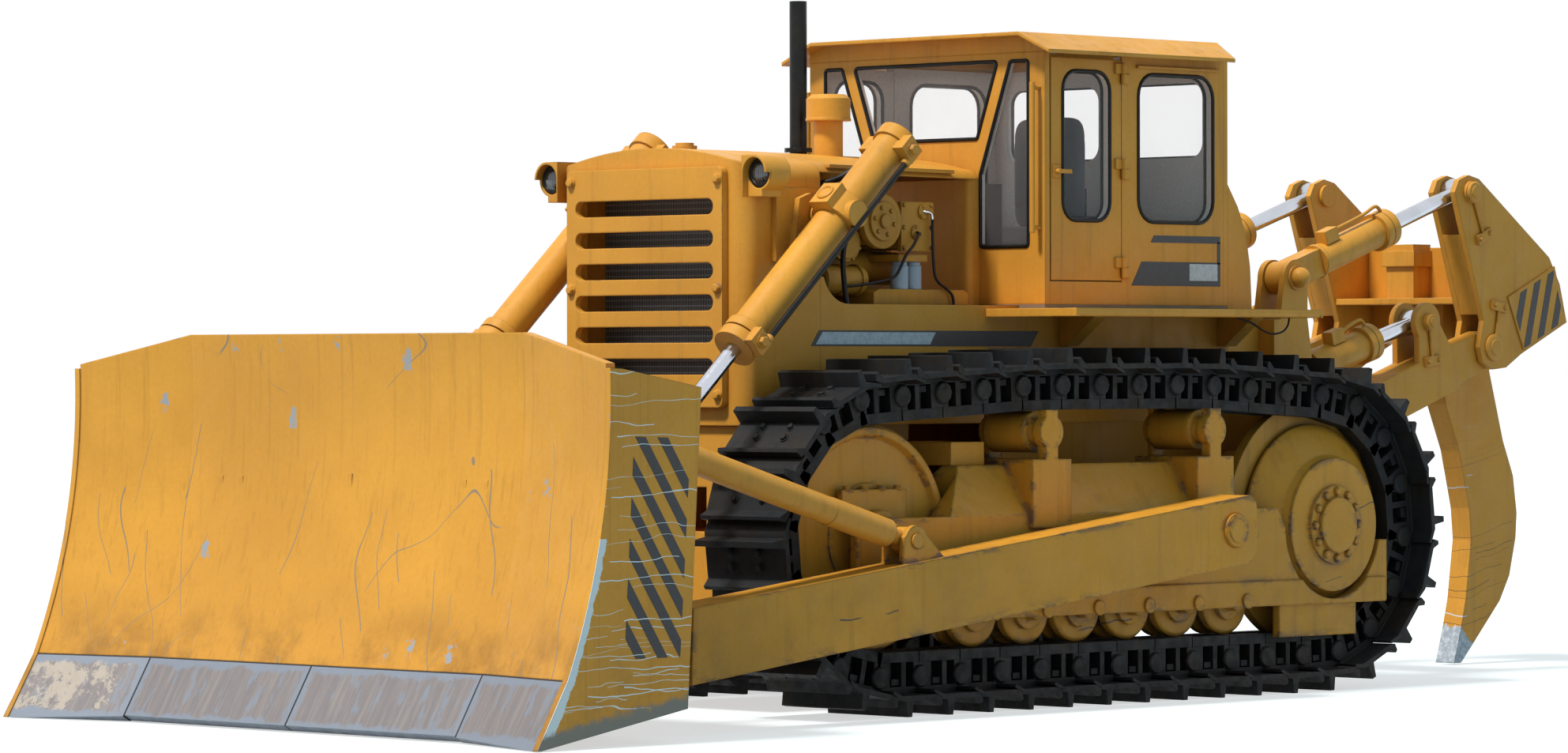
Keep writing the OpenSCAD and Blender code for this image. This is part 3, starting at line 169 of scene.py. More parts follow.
class Shell:
    """Collects surfaces as arrays of points and faces, then makes one mesh of them."""

    def __init__(self) -> None:
        """Starts with no points."""
        self.points: list[Array] = []
        self.faces: list[list[int]] = []
        self.count = 0

    def add(self, points: Array, faces: Sequence[Sequence[int]]) -> Shell:
        """Adds rows of points and the faces that use them."""
        self.points.append(np.asarray(points, float).reshape(-1, 3))
        self.faces += [[self.count + i for i in f] for f in faces]
        self.count += len(self.points[-1])
        return self

    def grid(self, points: Array, close_u: bool = False, close_v: bool = False, caps: bool = False) -> Shell:
        """Adds a surface over two parameters, one quad between each four neighbours.

        Args:
            points: Array of shape (u, v, 3).
            close_u: Joins the last row to the first.
            close_v: Joins the last column to the first.
            caps: Closes the first and last rows with flat faces.

        Returns:
            The shell itself.
        """
        nu, nv = points.shape[:2]
        index = np.arange(nu * nv).reshape(nu, nv)
        u = np.arange(nu if close_u else nu - 1)
        v = np.arange(nv if close_v else nv - 1)
        a, b = np.meshgrid(u, v, indexing="ij")
        c, d = (a + 1) % nu, (b + 1) % nv
        quads = np.stack([index[a, b], index[c, b], index[c, d], index[a, d]], -1).reshape(-1, 4).tolist()
        if caps:
            quads += [index[0].tolist()[::-1], index[-1].tolist()]
        return self.add(points.reshape(-1, 3), quads)

    def prism(self, outline: Any, axis: Axis, low: float, high: float) -> Shell:
        """Carries a flat outline straight along one axis, from low to high, and closes both ends."""
        rows = np.stack([in_plane(outline, axis, low), in_plane(outline, axis, high)])
        return self.grid(rows, close_v=True, caps=True)

    def box(self, low: Sequence[float], high: Sequence[float]) -> Shell:
        """Adds a block between two corners."""
        return self.prism(rectangle((low[0], high[0]), (low[1], high[1])), Axis.Z, low[2], high[2])

    def plates(self, outline: Any, face: float, depth: float) -> Shell:
        """Adds a thin plate on each side of the machine.

        Args:
            outline: Rows of X and Z from the maker's datum.
            face: Distance of the plate's seat from the middle.
            depth: Thickness of the plate, outward.

        Returns:
            The shell itself.
        """
        for s in SIDES:
            low, high = sorted((s * face, s * (face + depth)))
            self.prism(np.asarray(outline, float) + SHIFT[:2], Axis.Y, low, high)
        return self

    def lathe(self, profile: Any, foot: Any, axis: Any, steps: int = 32) -> Shell:
        """Turns a profile of radius and height about an axis.

        Args:
            profile: Rows of radius and height; the ends may sit on the axis.
            foot: Point on the axis at height 0.
            axis: Direction of the axis.
            steps: Facets round the axis.

        Returns:
            The shell itself.
        """
        up = unit(axis)
        side = unit(np.cross(up, [0.0, 0.0, 1.0] if abs(up[2]) < 0.9 else [1.0, 0.0, 0.0]))
        cos, sin = circle(steps)
        ring = cos[:, None] * side + sin[:, None] * np.cross(up, side)
        flat = np.asarray(profile, float)
        rows = flat[:, 0, None, None] * ring + flat[:, 1, None, None] * up + np.asarray(foot, float)
        return self.grid(rows, close_v=True, caps=True)

    def tube(self, path: Array, section: Array, closed: bool = False) -> Shell:
        """Carries a section along a path, square to it.

        The frame at each point comes from the path's own tangent and the normal of its best plane.

        Args:
            path: Rows of x, y, z.
            section: Rows of sideways and normal offsets.
            closed: Joins the end to the start.

        Returns:
            The shell itself.
        """
        around = np.roll(path, -1, 0) - np.roll(path, 1, 0)
        tangent = unit(around if closed else np.gradient(path, axis=0))
        planes = np.linalg.svd(path - path.mean(0))[2]
        normal = planes[1] if abs(float((tangent @ planes[2]).max())) > 0.95 else planes[2]
        across = unit(np.cross(tangent, normal))
        rise = np.cross(across, tangent)
        rows = path[:, None] + section[None, :, :1] * across[:, None] + section[None, :, 1:] * rise[:, None]
        return self.grid(rows, close_u=closed, close_v=True, caps=not closed)

    def copies(self, shape: Shell, places: Array) -> Shell:
        """Adds another shell at many places at once, given as matrices of shape (m, 4, 4)."""
        local = np.concatenate(shape.points)
        for block in np.einsum("mij,vj->mvi", places[:, :3, :3], local) + places[:, None, :3, 3]:
            self.add(block, shape.faces)
        return self

    def join(self, other: Shell) -> Shell:
        """Adds all of another shell."""
        return self.add(np.concatenate(other.points), other.faces)

    def build(self, name: str, body: str, slot: str, finish: bpy.types.Material, soft_angle: float = 35.0,
              replaces: Sequence[str] = (), bend: Bend | None = None) -> bpy.types.Object:
        """Makes the object, with outward faces, and puts it on its body unless a bend is given, when it is
        baked in place and put on no body.

        Args:
            name: Object name.
            body: CAD body that carries it.
            slot: Name of a material slot; not used.
            finish: Material.
            soft_angle: Edges flatter than this many degrees are shaded smooth.
            replaces: CAD nodes that it stands for.
            bend: Second body that the piece reaches, where it crosses a joint; neither body is made to carry
                it.

        Returns:
            The new object.
        """
        mesh = bpy.data.meshes.new(name)
        mesh.from_pydata(np.concatenate(self.points).tolist(), [], self.faces)
        work = bmesh.new()
        work.from_mesh(mesh)
        bmesh.ops.remove_doubles(work, verts=work.verts, dist=1e-6)
        bmesh.ops.recalc_face_normals(work, faces=work.faces)
        work.to_mesh(mesh)
        work.free()
        mesh.polygons.foreach_set("use_smooth", np.ones(len(mesh.polygons), bool))
        mesh.set_sharp_from_angle(angle=math.radians(soft_angle))
        mesh.materials.append(finish)
        piece = bpy.data.objects.new(name, mesh)
        bpy.context.scene.collection.objects.link(piece)
        if bend is None:
            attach(piece, body)
        else:
            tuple(bend.start)
            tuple(bend.end)
            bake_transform(piece)
        if replaces:
            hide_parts(*replaces)
        LOG.info("%s: %d faces on %s", name, len(mesh.polygons), body)
        return piece


def oval(across: float, rise: float, sides: int = 12) -> Array:
    """Section of a tube: an ellipse of two half-widths."""
    cos, sin = circle(sides)
    return np.stack([across * cos, rise * sin], 1)


def smooth_path(points: Any, count: int = 32) -> Array:
    """Runs a smooth curve through points: a Catmull-Rom cubic between each two, then evenly spaced.

    Args:
        points: Rows of x, y, z.
        count: Points of the result.

    Returns:
        Array of shape (count, 3).
    """
    p = np.asarray(points, float)
    p = np.concatenate([[2 * p[0] - p[1]], p, [2 * p[-1] - p[-2]]])
    t = np.linspace(0, 1, 24, endpoint=False)[None, :, None]
    a, b, c, d = (p[i:len(p) - 3 + i][:, None] for i in range(4))
    curve = 0.5 * (2 * b + (c - a) * t + (2 * a - 5 * b + 4 * c - d) * t**2 + (3 * b - a - 3 * c + d) * t**3)
    return evenly(np.concatenate([curve.reshape(-1, 3), p[-2:-1]]), count)


def rounded(corners: Any, radius: float, steps: int = 6) -> Array:
    """Rounds the corners of a flat outline with arcs that touch both edges.

    Args:
        corners: Rows of two coordinates, in order.
        radius: Corner radius.
        steps: Points on each arc.

    Returns:
        Rows of two coordinates.
    """
    p = np.asarray(corners, float)
    before = unit(np.roll(p, 1, 0) - p)
    after = unit(np.roll(p, -1, 0) - p)
    half = np.arccos(np.clip((before * after).sum(1), -1, 1)) / 2
    centre = p + unit(before + after) * (radius / np.sin(half))[:, None]
    start = p + before * (radius / np.tan(half))[:, None] - centre
    stop = p + after * (radius / np.tan(half))[:, None] - centre
    t = np.linspace(0, 1, steps)[None, :, None]
    spread = (np.pi - 2 * half)[:, None, None]
    arc = np.sin((1 - t) * spread) * start[:, None] + np.sin(t * spread) * stop[:, None]
    return (centre[:, None] + arc / np.sin(spread)).reshape(-1, 2)


def rectangle(a: Sequence[float], b: Sequence[float]) -> list[list[float]]:
    """Corners of a rectangle between two pairs of limits."""
    return [[a[0], b[0]], [a[1], b[0]], [a[1], b[1]], [a[0], b[1]]]


def cut(outline: Array, normal: Array, limit: float) -> Array:
    """Keeps the part of a convex outline on one side of a line.

    Corners whose distance along the normal is below the limit stay. Each edge that crosses it gets a corner.

    Args:
        outline: Rows of two coordinates, in order.
        normal: Unit direction square to the line.
        limit: Distance of the line along the normal.

    Returns:
        Rows of two coordinates, none where nothing is left.
    """
    here = outline @ normal - limit
    there = np.roll(here, -1)
    crosses = (here < 0) != (there < 0)
    share = here / np.where(crosses, here - there, 1.0)
    step = (np.roll(outline, -1, 0) - outline) * share[:, None]
    rows = np.stack([outline, outline + step], 1).reshape(-1, 2)
    return rows[np.stack([here < 0, crosses], 1).reshape(-1)]


@dataclass(frozen=True)
class Stripes:
    """Slanted stripes inside a convex field.

    Args:
        area: Corners of the field, along X and Z.
        run: Direction of the stripes.
        first: Distance of the first stripe's edge, square to its direction.
        pitch: Distance from stripe to stripe.
        width: Width of a stripe.
        count: Number of stripes.
    """

    area: tuple[Pair, ...]
    run: Pair
    first: float
    pitch: float
    width: float
    count: int

    def outlines(self) -> list[Array]:
        """One outline for each stripe that meets the field."""
        d = unit(self.run)
        normal = np.array([d[1], -d[0]])
        starts = self.first + self.pitch * np.arange(self.count)
        pieces = [cut(cut(np.array(self.area), normal, s + self.width), -normal, -s) for s in starts]
        return [p for p in pieces if len(p) > 2]


def bolts(places: Array, axis: Sequence[float], across: float = 0.032) -> Shell:
    """Hexagon heads with washers: each is a turned profile of a washer, six flats and a shallow crown.

    Args:
        places: Rows of x, y, z, each where a bolt meets its seat.
        axis: Direction the heads point.
        across: Size of a head over its corners.

    Returns:
        Shell with all of them.
    """
    r = across / 2
    washer = r * np.array([[0, -0.2], [1.3, -0.2], [1.3, 0.22], [0, 0.22]])
    crown = r * np.array([[0, 0.2], [1, 0.2], [1, 0.8], [0.8, 0.95], [0, 0.98]])
    head = Shell().lathe(washer, (0, 0, 0), axis, 12).lathe(crown, (0, 0, 0), axis, 6)
    frames = np.tile(np.eye(4), (len(places), 1, 1))
    frames[:, :3, 3] = places
    return Shell().copies(head, frames)


def bolt_ring(centre: Any, radius: float, count: int, phase: float = 0.0) -> Array:
    """Points on an upright circle in the side view, the first one turned by a phase in degrees."""
    turn = np.radians(phase) + np.linspace(0, 2 * np.pi, count, endpoint=False)
    ring = np.stack([np.cos(turn), np.zeros(count), np.sin(turn)], 1)
    return np.asarray(centre, float) + radius * ring


def operator(operation: str, swapped: bool = False) -> Callable[..., Value]:
    """Makes a method that adds one math node, with its operands swapped where asked."""

    def method(self: Value, other: Any = 0.0) -> Value:
        """Adds the node."""
        return self.graph.math(operation, *((other, self) if swapped else (self, other)))

    return method


class Value:
    """Output of a node.

    Arithmetic on it adds nodes. The signs | and & take the larger and the smaller value, and a comparison
    gives a mask of 0 and 1.
    """

    def __init__(self, graph: Graph, socket: Socket) -> None:
        """Keeps the output and its graph."""
        self.graph = graph
        self.socket = socket

    __add__ = operator("ADD")
    __sub__ = operator("SUBTRACT")
    __rsub__ = operator("SUBTRACT", swapped=True)
    __mul__ = operator("MULTIPLY")
    __or__ = operator("MAXIMUM")
    __and__ = operator("MINIMUM")
    __lt__ = operator("LESS_THAN")
    __gt__ = operator("GREATER_THAN")
    __abs__ = operator("ABSOLUTE")


class Graph:
    """Builds a material's nodes with short calls."""

    def __init__(self, name: str) -> None:
        """Makes an empty material with a Principled shader."""
        self.material = bpy.data.materials.new(name)
        self.material.use_nodes = True
        self.tree = self.material.node_tree
        self.shader = self.tree.nodes["Principled BSDF"]
        self.place = self.add("ShaderNodeTexCoord", out="Object")

    def node(self, kind: str, inputs: dict[Any, Any], **props: Any) -> bpy.types.Node:
        """Adds a node.

        Args:
            kind: Node type.
            inputs: Socket names or numbers, with a value or another node's output.
            props: Settings of the node itself.

        Returns:
            The node.
        """
        node = self.tree.nodes.new(kind)
        for key, value in props.items():
            setattr(node, key, value)
        for key, value in inputs.items():
            self.put(node.inputs[key], value)
        return node

    def add(self, kind: str, inputs: dict[Any, Any] | None = None, out: Any = 0, **props: Any) -> Value:
        """Adds a node and gives one of its outputs."""
        return Value(self, self.node(kind, inputs or {}, **props).outputs[out])

    def put(self, socket: Socket, value: Any) -> None:
        """Links a socket, or sets its value; a colour is given as it looks on screen."""
        if isinstance(value, Value):
            self.tree.links.new(value.socket, socket)
        else:
            socket.default_value = linear(value) if socket.type == "RGBA" else value

    def set(self, **values: Any) -> bpy.types.Material:
        """Sets the shader's own sockets, with underscores for spaces, and gives the material."""
        for key, value in values.items():
            self.put(self.shader.inputs[key.replace("_", " ")], value)
        return self.material

    def stretch(self, scale: Point, shift: Point = (0, 0, 0)) -> Value:
        """Object coordinates moved and scaled."""
        return self.add("ShaderNodeMapping", {"Vector": self.place, "Location": shift, "Scale": scale})

    def noise(self, scale: float, detail: float = 4.0, rough: float = 0.55, at: Value | None = None) -> Value:
        """Cloud noise, 0 to 1."""
        inputs = {"Vector": at or self.place, "Scale": scale, "Detail": detail, "Roughness": rough}
        return self.add("ShaderNodeTexNoise", inputs, "Fac")

    def remap(self, value: Value, low: float, high: float, to_low: float = 0.0,
              to_high: float = 1.0) -> Value:
        """Rescales a value and clamps it."""
        inputs = {"Value": value, "From Min": low, "From Max": high, "To Min": to_low, "To Max": to_high}
        return self.add("ShaderNodeMapRange", inputs, interpolation_type="SMOOTHSTEP")

    def math(self, operation: str, a: Any, b: Any = 0.0) -> Value:
        """Arithmetic on two values."""
        return self.add("ShaderNodeMath", {0: a, 1: b}, operation=operation)

    def mix(self, factor: Any, a: Any, b: Any) -> Value:
        """Blends two colours."""
        return self.add("ShaderNodeMix", {0: factor, 6: a, 7: b}, 2, data_type="RGBA")

    def axes(self, vector: Value | None = None) -> list[Value]:
        """X, Y and Z of a vector, or of the point in metres."""
        split = self.node("ShaderNodeSeparateXYZ", {0: vector or self.place})
        return [Value(self, out) for out in split.outputs]

    def edge(self, radius: float) -> tuple[Value, Value]:
        """Finds edges by comparing a rounded normal, with a given reach, with the flat one.

        Returns:
            The rounded normal and the edge mask.
        """
        soft = self.add("ShaderNodeBevel", {"Radius": radius}, samples=4)
        flat = self.add("ShaderNodeNewGeometry", out="Normal")
        dot = self.add("ShaderNodeVectorMath", {0: soft, 1: flat}, "Value", operation="DOT_PRODUCT")
        return soft, self.remap(1.0 - dot, *EDGE_LIMITS)

    def strokes(self, across: Value, along: Value, rows: float, gate: float, width: float,
                span: Point) -> Value:
        """Thin lines, one to a row, each with its own thickness, start and length.

        Args:
            across: Coordinate that numbers the rows.
            along: Coordinate that the lines run in.
            rows: Rows in a metre.
            gate: Share of the rows left bare.
            width: Greatest half-thickness of a line.
            span: Lowest and highest start, and greatest length.

        Returns:
            Mask, 1 on a line.
        """
        level = across * rows
        row = self.math("FLOOR", level)
        pick, where, size = (
            self.add("ShaderNodeTexWhiteNoise", {"W": row + seed}, "Value", noise_dimensions="1D")
            for seed in (0.0, 71.3, 23.9))
        line = abs(self.math("FRACT", level) - 0.5) < pick * (width * rows)
        past = along - self.remap(where, 0, 1, *span[:2])
        return line * (pick > gate) * ((past > 0.0) * (past < size * span[2]))

    def level_scratches(self, rows: float, tilt: float, gate: float) -> Value:
        """Wavy, nearly level scratches that start at the blade's front.

        Args:
            rows: Rows in a metre.
            tilt: Waviness of a line.
            gate: Share of the rows left bare.

        Returns:
            Mask, 1 on a scratch.
        """
        x, _, z = self.axes()
        wave = self.noise(1.7, 3, 0.5, self.stretch((1, 1, 2.2), (rows, 0, 0)))
        return self.strokes(z + wave * tilt, 5.0 + ORIGIN_X - x, rows, gate, 0.0028, (-0.25, 0.35, 1.1))

    def hollow(self, reach: float) -> Value:
        """How closed in a point is, 0 in the open and 1 deep in a corner."""
        return 1.0 - self.add("ShaderNodeAmbientOcclusion", {"Distance": reach}, "AO", samples=4)

    def bump(self, height: Value, strength: float, distance: float, normal: Value | None = None) -> Value:
        """Turns a height into a normal, over a given one."""
        inputs = {"Strength": strength, "Distance": distance, "Height": height}
        return self.add("ShaderNodeBump", inputs if normal is None else {**inputs, "Normal": normal})


@dataclass(frozen=True)
class Paint:
    """Sprayed machine paint, weathered.

    Args:
        name: Material name.
        colour: Colour of clean paint.
        shade: Colour of faded or shaded paint.
        chips: How much paint is off the edges.
        corner_shade: How much painted shade darkens the corners and hollows.
        streaks: Strength of the water marks.
        dust_top: Height up to which ground dust lies.
        rough: Roughness of the paint.
        fine: Fineness of the water marks.
        wear: Reach of the wear from an edge.
        scrapes: Strength of dark scrapes along the machine.
    """

    name: str
    colour: Colour = (0.885, 0.618, 0.225)
    shade: Colour = (0.810, 0.560, 0.205)
    chips: float = 0.5
    corner_shade: float = 0.55
    streaks: float = 0.16
    dust_top: float = 0.9
    rough: float = 0.44
    fine: float = 5.0
    wear: float = 0.012
    scrapes: float = 0.0

    def coat(self, g: Graph) -> tuple[Value, Value]:
        """Works out the painted colour and normal."""
        tone = g.mix(g.remap(g.noise(0.8, 6, 0.6), 0.3, 0.7), self.shade, self.colour)
        tone = g.mix(g.remap(g.noise(38, 3, 0.6), 0.3, 0.75) * 0.10, tone, MOTTLE)
        marks = g.remap(g.noise(2.2, 7, 0.62, g.stretch((self.fine, self.fine, 0.3))), 0.52, 0.68)
        tone = g.mix(marks * self.streaks, tone, WATER_MARK)
        dust = g.remap(g.axes()[2], self.dust_top, 0.05) * g.remap(g.noise(2.6, 6, 0.65), 0.42, 0.75)
        tone = g.mix(dust * 0.5, tone, GROUND_DUST)
        # Painted shade: ambient occlusion darkens corners and hollows towards a dark brown, unevenly.
        corner = g.remap(g.hollow(0.16), 0.15, 0.95) * self.corner_shade
        corner = corner * g.remap(g.noise(6, 6, 0.6), 0.2, 0.75, 0.45, 1.0)
        tone = g.mix(corner, tone, CORNER_SHADE)
        soft, rim = g.edge(self.wear)
        worn = rim * g.remap(g.noise(5.5, 9, 0.7), 0.60 - 0.1 * self.chips, 0.66)
        tone = g.mix(worn * min(1.0, self.chips * 1.6), tone, PRIMER)
        if self.scrapes:
            tone = self.scraped(g, tone)
        return tone, g.bump(g.noise(95, 2), 0.04, 0.002, soft)

    def scraped(self, g: Graph, tone: Value) -> Value:
        """Lays dark scrapes along the machine, and flakes along its edges, over a colour."""
        x, _, z = g.axes()
        level = z + g.noise(2.1, 3, 0.6) * 0.12 + x * 0.16
        line = g.strokes(level, x, 13.0, 0.50, 0.0052, (-2.9, 2.9, 0.60))
        line = line * g.remap(g.noise(3.0, 2), 0.44, 0.52)
        flake = g.remap(g.noise(4.2, 9, 0.74, g.stretch((0.55, 1, 1.5))), 0.530, 0.555)
        flake = g.edge(3.0 * self.wear)[1] * flake
        return g.mix((line | flake) * self.scrapes, tone, SCRAPE)

    def close(self, g: Graph, tone: Value, normal: Value) -> bpy.types.Material:
        """Puts the colour, the gloss and the normal on the shader."""
        gloss = g.remap(g.noise(9, 5), 0.3, 0.7, self.rough - 0.06, self.rough + 0.12)
        return g.set(Base_Color=tone, Roughness=gloss, Normal=normal, Specular_IOR_Level=0.3)

    def build(self) -> bpy.types.Material:
        """Makes the material."""
        g = Graph(self.name)
        tone, normal = self.coat(g)
        return self.close(g, self.over(g, tone), normal)

    def over(self, g: Graph, tone: Value) -> Value:
        """What lies over the coat: nothing on plain paint."""
        return tone


@dataclass(frozen=True)
class CabPaint(Paint):
    """Paint of the cab, with a grey lining on the inside of its walls.

    Args:
        half_width: Outer face of the side walls.
        ends: Outer faces of the rear and front walls, along X.
        skin: Depth from an outer face at which the lining begins.
        lining: Colour of the lining.
        lining_low: Height of the lining's lower edge.
        lining_top: Height above which only faces that look down are lined.
    """

    half_width: float = 0.940
    ends: Pair = (-1.356, 0.242)
    skin: float = 0.012
    lining: Colour = (0.95, 0.89, 0.87)
    lining_low: float = 2.62
    lining_top: float = 3.70

    def over(self, g: Graph, tone: Value) -> Value:
        """Lines the walls' inside, and makes the paint under the lining darker and browner."""
        x, y, z = g.axes()
        rear, front = self.ends
        along = abs(x - ((rear + front) / 2 + ORIGIN_X)) < (front - rear) / 2 - self.skin
        facing = g.axes(g.add("ShaderNodeNewGeometry", out="Normal"))[2]
        under = (z < self.lining_top) | (facing < -0.3)
        inside = (abs(y) < self.half_width - self.skin) * along * under
        cloth = g.mix(g.remap(g.noise(70, 4, 0.6), 0.3, 0.7), self.lining, (0.89, 0.83, 0.81))
        # Below the lining, inside the walls, the paint is mixed halfway towards a dark brown.
        lower_tone = g.mix(0.45, tone, (0.34, 0.26, 0.18))
        return g.mix(inside, tone, g.mix(z > self.lining_low, lower_tone, cloth))


@dataclass(frozen=True)
class BladePaint(Paint):
    """Paint of the moldboard, with the scratches and wear of digging.

    Args:
        end_y: Distance of the end plates' outer faces from the middle.
        face_centre: Middle of the face's arc at its ends, along X and Z.
        face_radius: Radius of that arc.
        smear: Colour of the soil on the face's lower part.
        scratch: Colour of the face's scratches.
        metal: Colour of its chips.
        foot: Colour of the end plates' worn foot.
    """

    end_y: float = 2.15
    face_centre: Pair = (8.308, 1.760)
    face_radius: float = 3.5
    smear: Colour = (0.44, 0.29, 0.13)
    scratch: Colour = (0.53, 0.475, 0.41)
    metal: Colour = (0.60, 0.61, 0.64)
    foot: Colour = (0.52, 0.50, 0.47)

    def face_marks(self, g: Graph, tone: Value, inside: Value) -> Value:
        """Lays smears, scratches and chips over the face's colour.

        The long scratches are two sets that lean opposite ways and start low.

        Args:
            g: Node builder.
            tone: Colour of the paint.
            inside: Mask of all but the end plates.

        Returns:
            The new colour.
        """
        _, y, z = g.axes()
        smear = g.remap(z, 0.80, 0.36) * g.remap(g.noise(1.6, 8, 0.66), 0.40, 0.64)
        tone = g.mix(smear * inside * 0.62, tone, self.smear)
        bow = g.noise(0.7, 2, 0.4) * 0.9
        steep = g.strokes(y + bow + z * 0.16, z, 7.0, 0.15, 0.0046, (0.30, 0.80, 0.85))
        slant = g.strokes(y - bow + z * -0.55, z, 3.0, 0.25, 0.0042, (0.36, 1.20, 0.75))
        vein = abs(g.noise(0.9, 1.5, 0.4) - 0.5) < 0.0011
        line = vein * g.remap(g.noise(1.1, 2), 0.50, 0.54) | steep | slant
        tone = g.mix(line * inside * 0.85, tone, self.scratch)
        cell = g.add("ShaderNodeTexVoronoi", {"Vector": g.stretch((1, 1, 0.6)), "Scale": 3.0}, "Distance")
        chip = cell + g.noise(24, 6, 0.75) * 0.60 < 0.378
        return g.mix(chip * inside, tone, self.metal)

    def over(self, g: Graph, tone: Value) -> Value:
        """Wears the face, and bares the end plates' front edge and foot."""
        x, y, z = g.axes()
        outside = abs(y) > self.end_y - 0.004
        tone = self.face_marks(g, tone, 1.0 - outside)
        dx, dz = x - (self.face_centre[0] + ORIGIN_X), z - self.face_centre[1]
        depth = g.math("SQRT", dx * dx + dz * dz) - self.face_radius - g.noise(11, 8, 0.7) * 0.07
        bare = (depth < 0.005) * (z < 1.05)
        low_lines = g.level_scratches(36.0, 0.22, 0.12) * (z < 0.62)
        white = bare | g.level_scratches(*FINE_SCRATCHES) | low_lines
        tone = g.mix(white * outside, tone, SCRATCH_WHITE)
        slope = z - (5.3 + ORIGIN_X - x) * 0.163
        foot = g.remap(slope - g.noise(13, 8, 0.7) * 0.14, 0.03, -0.02)
        return g.mix(foot * outside, tone, self.foot)


@dataclass(frozen=True)
class ShankPaint(Paint):
    """Paint of the ripper's shank, scored towards its tip and worn to the metal there.

    Args:
        scored: Height below which the scores lie.
        tip: Height of the bare tip at its front.
        front: Place of the tip's front along X.
    """

    scored: float = 1.65
    tip: float = 0.27
    front: float = -4.63

    def over(self, g: Graph, tone: Value) -> Value:
        """Scores the shank and bares its tip."""
        x, _, z = g.axes()
        level = z + g.noise(3.0, 3, 0.5) * 0.10 + x * 0.22
        behind = x * -1.0
        dark = g.strokes(level, behind, 24.0, 0.15, 0.0030, (4.45, 4.85, 0.7))
        pale = g.strokes(level + 0.37, behind, 15.0, 0.25, 0.0065, (4.40, 4.76, 0.20))
        below = g.remap(z, self.scored, self.scored - 0.7)
        tone = g.mix(dark * below * 0.7, tone, (0.27, 0.25, 0.22))
        tone = g.mix(pale * below, tone, (0.82, 0.84, 0.88))
        ragged = g.noise(17, 8, 0.7, g.stretch((1, 1, 0.35))) * 0.16 + (x - (self.front + ORIGIN_X))
        metal = g.mix(g.remap(g.noise(30, 5, 0.7), 0.4, 0.65), (0.62, 0.65, 0.70), (0.80, 0.82, 0.86))
        return g.mix(z - ragged < self.tip - 0.08, tone, metal)


@dataclass(frozen=True)
class Steel:
    """Bare or lightly coated steel with painted shade in its corners and polish on its edges.

    Args:
        name: Material name.
        colour: Colour of the metal.
        stain: Colour of rust or dust on it.
        stained: Share of the surface that is stained.
        polish: Colour of worn edges.
        metallic: Metal share.
        rough: Roughness.
    """

    name: str
    colour: Colour
    stain: Colour
    stained: float
    polish: Colour
    metallic: float
    rough: float

    def build(self) -> bpy.types.Material:
        """Makes the material."""
        g = Graph(self.name)
        share = 0.3 * self.stained
        patch = g.remap(g.noise(3.1, 9, 0.68, g.stretch((1, 1, 1))), 0.62 - share, 0.74 - share)
        tone = g.mix(patch, self.colour, self.stain)
        tone = g.mix(g.remap(g.noise(45, 4, 0.7), 0.35, 0.7) * 0.22, tone, (0.10, 0.10, 0.11))
        # Painted shade: ambient occlusion darkens corners and hollows to near black.
        tone = g.mix(g.remap(g.hollow(0.12), 0.2, 0.95) * 0.7, tone, (0.07, 0.065, 0.06))
        soft, rim = g.edge(0.006)
        shine = rim * g.remap(g.noise(12, 6, 0.65), 0.42, 0.6)
        tone = g.mix(shine * 0.75, tone, self.polish)
        rough = g.remap(g.noise(16, 6, 0.6), 0.3, 0.7, self.rough - 0.1, self.rough + 0.14)
        normal = g.bump(g.noise(60, 5, 0.65), 0.16, 0.003, soft)
        return g.set(Base_Color=tone, Roughness=rough, Normal=normal, Metallic=self.metallic,
                     Specular_IOR_Level=0.25)


@dataclass(frozen=True)
class EdgeSteel:
    """Cutting edge in four lengths: brushed and brownish in the middle of each, bare towards its rims.

    Args:
        name: Material name.
        seam: Outer joint between the lengths, as a distance from the middle one.
        outer: Outer end, as a distance from the middle.
        heights: Lower and upper edge.
        cream_from: Place across the machine where the old paint begins.
        bare: Colour of bare metal.
        brushed: Colour of the brushed part.
        pale: Colour of its light streaks.
        polish: Colour of worn edges.
    """

    name: str = "edge_steel_finish"
    seam: float = 1.335
    outer: float = 2.15
    heights: Pair = (0.02, 0.348)
    cream_from: float = -1.42
    bare: Colour = (0.495, 0.52, 0.575)
    brushed: Colour = (0.475, 0.445, 0.455)
    pale: Colour = (0.60, 0.56, 0.54)
    polish: Colour = (0.70, 0.73, 0.78)

    def build(self) -> bpy.types.Material:
        """Makes the material."""
        g = Graph(self.name)
        _, y, z = g.axes()
        low, high = self.heights
        across = abs(y)
        joint = across & abs(across - self.seam)
        rim = joint & (self.outer - across) & (z - low) & (high - z)
        rim = rim - g.noise(7.0, 8, 0.7, g.stretch((1.3, 1.0, 0.7))) * 0.13
        fleck = g.remap(g.noise(4.0, 8, 0.66, g.stretch((1, 3.2, 0.8))), 0.55, 0.60)
        streak = g.remap(g.noise(5.0, 7, 0.7, g.stretch((0.4, 7, 0.4))), 0.40, 0.72)
        worn = g.mix(fleck * 0.8, g.mix(streak * 0.6, self.brushed, self.pale), self.bare)
        cream = (y < self.cream_from) * g.remap(g.noise(6, 9, 0.78), 0.49, 0.53)
        worn = g.mix(cream * 0.75, worn, (0.71, 0.655, 0.60))
        tone = g.mix(g.remap(rim, -0.035, -0.015), self.bare, worn)
        soft, edge = g.edge(0.006)
        tone = g.mix(edge * 0.6, tone, self.polish)
        tone = g.mix((joint < 0.0065) | (z > high - 0.007), tone, (0.13, 0.11, 0.11))
        rough = g.remap(g.noise(16, 6, 0.6), 0.3, 0.7, 0.4, 0.64)
        normal = g.bump(g.noise(60, 5), 0.12, 0.002, soft)
        return g.set(Base_Color=tone, Roughness=rough, Metallic=0.2, Normal=normal)


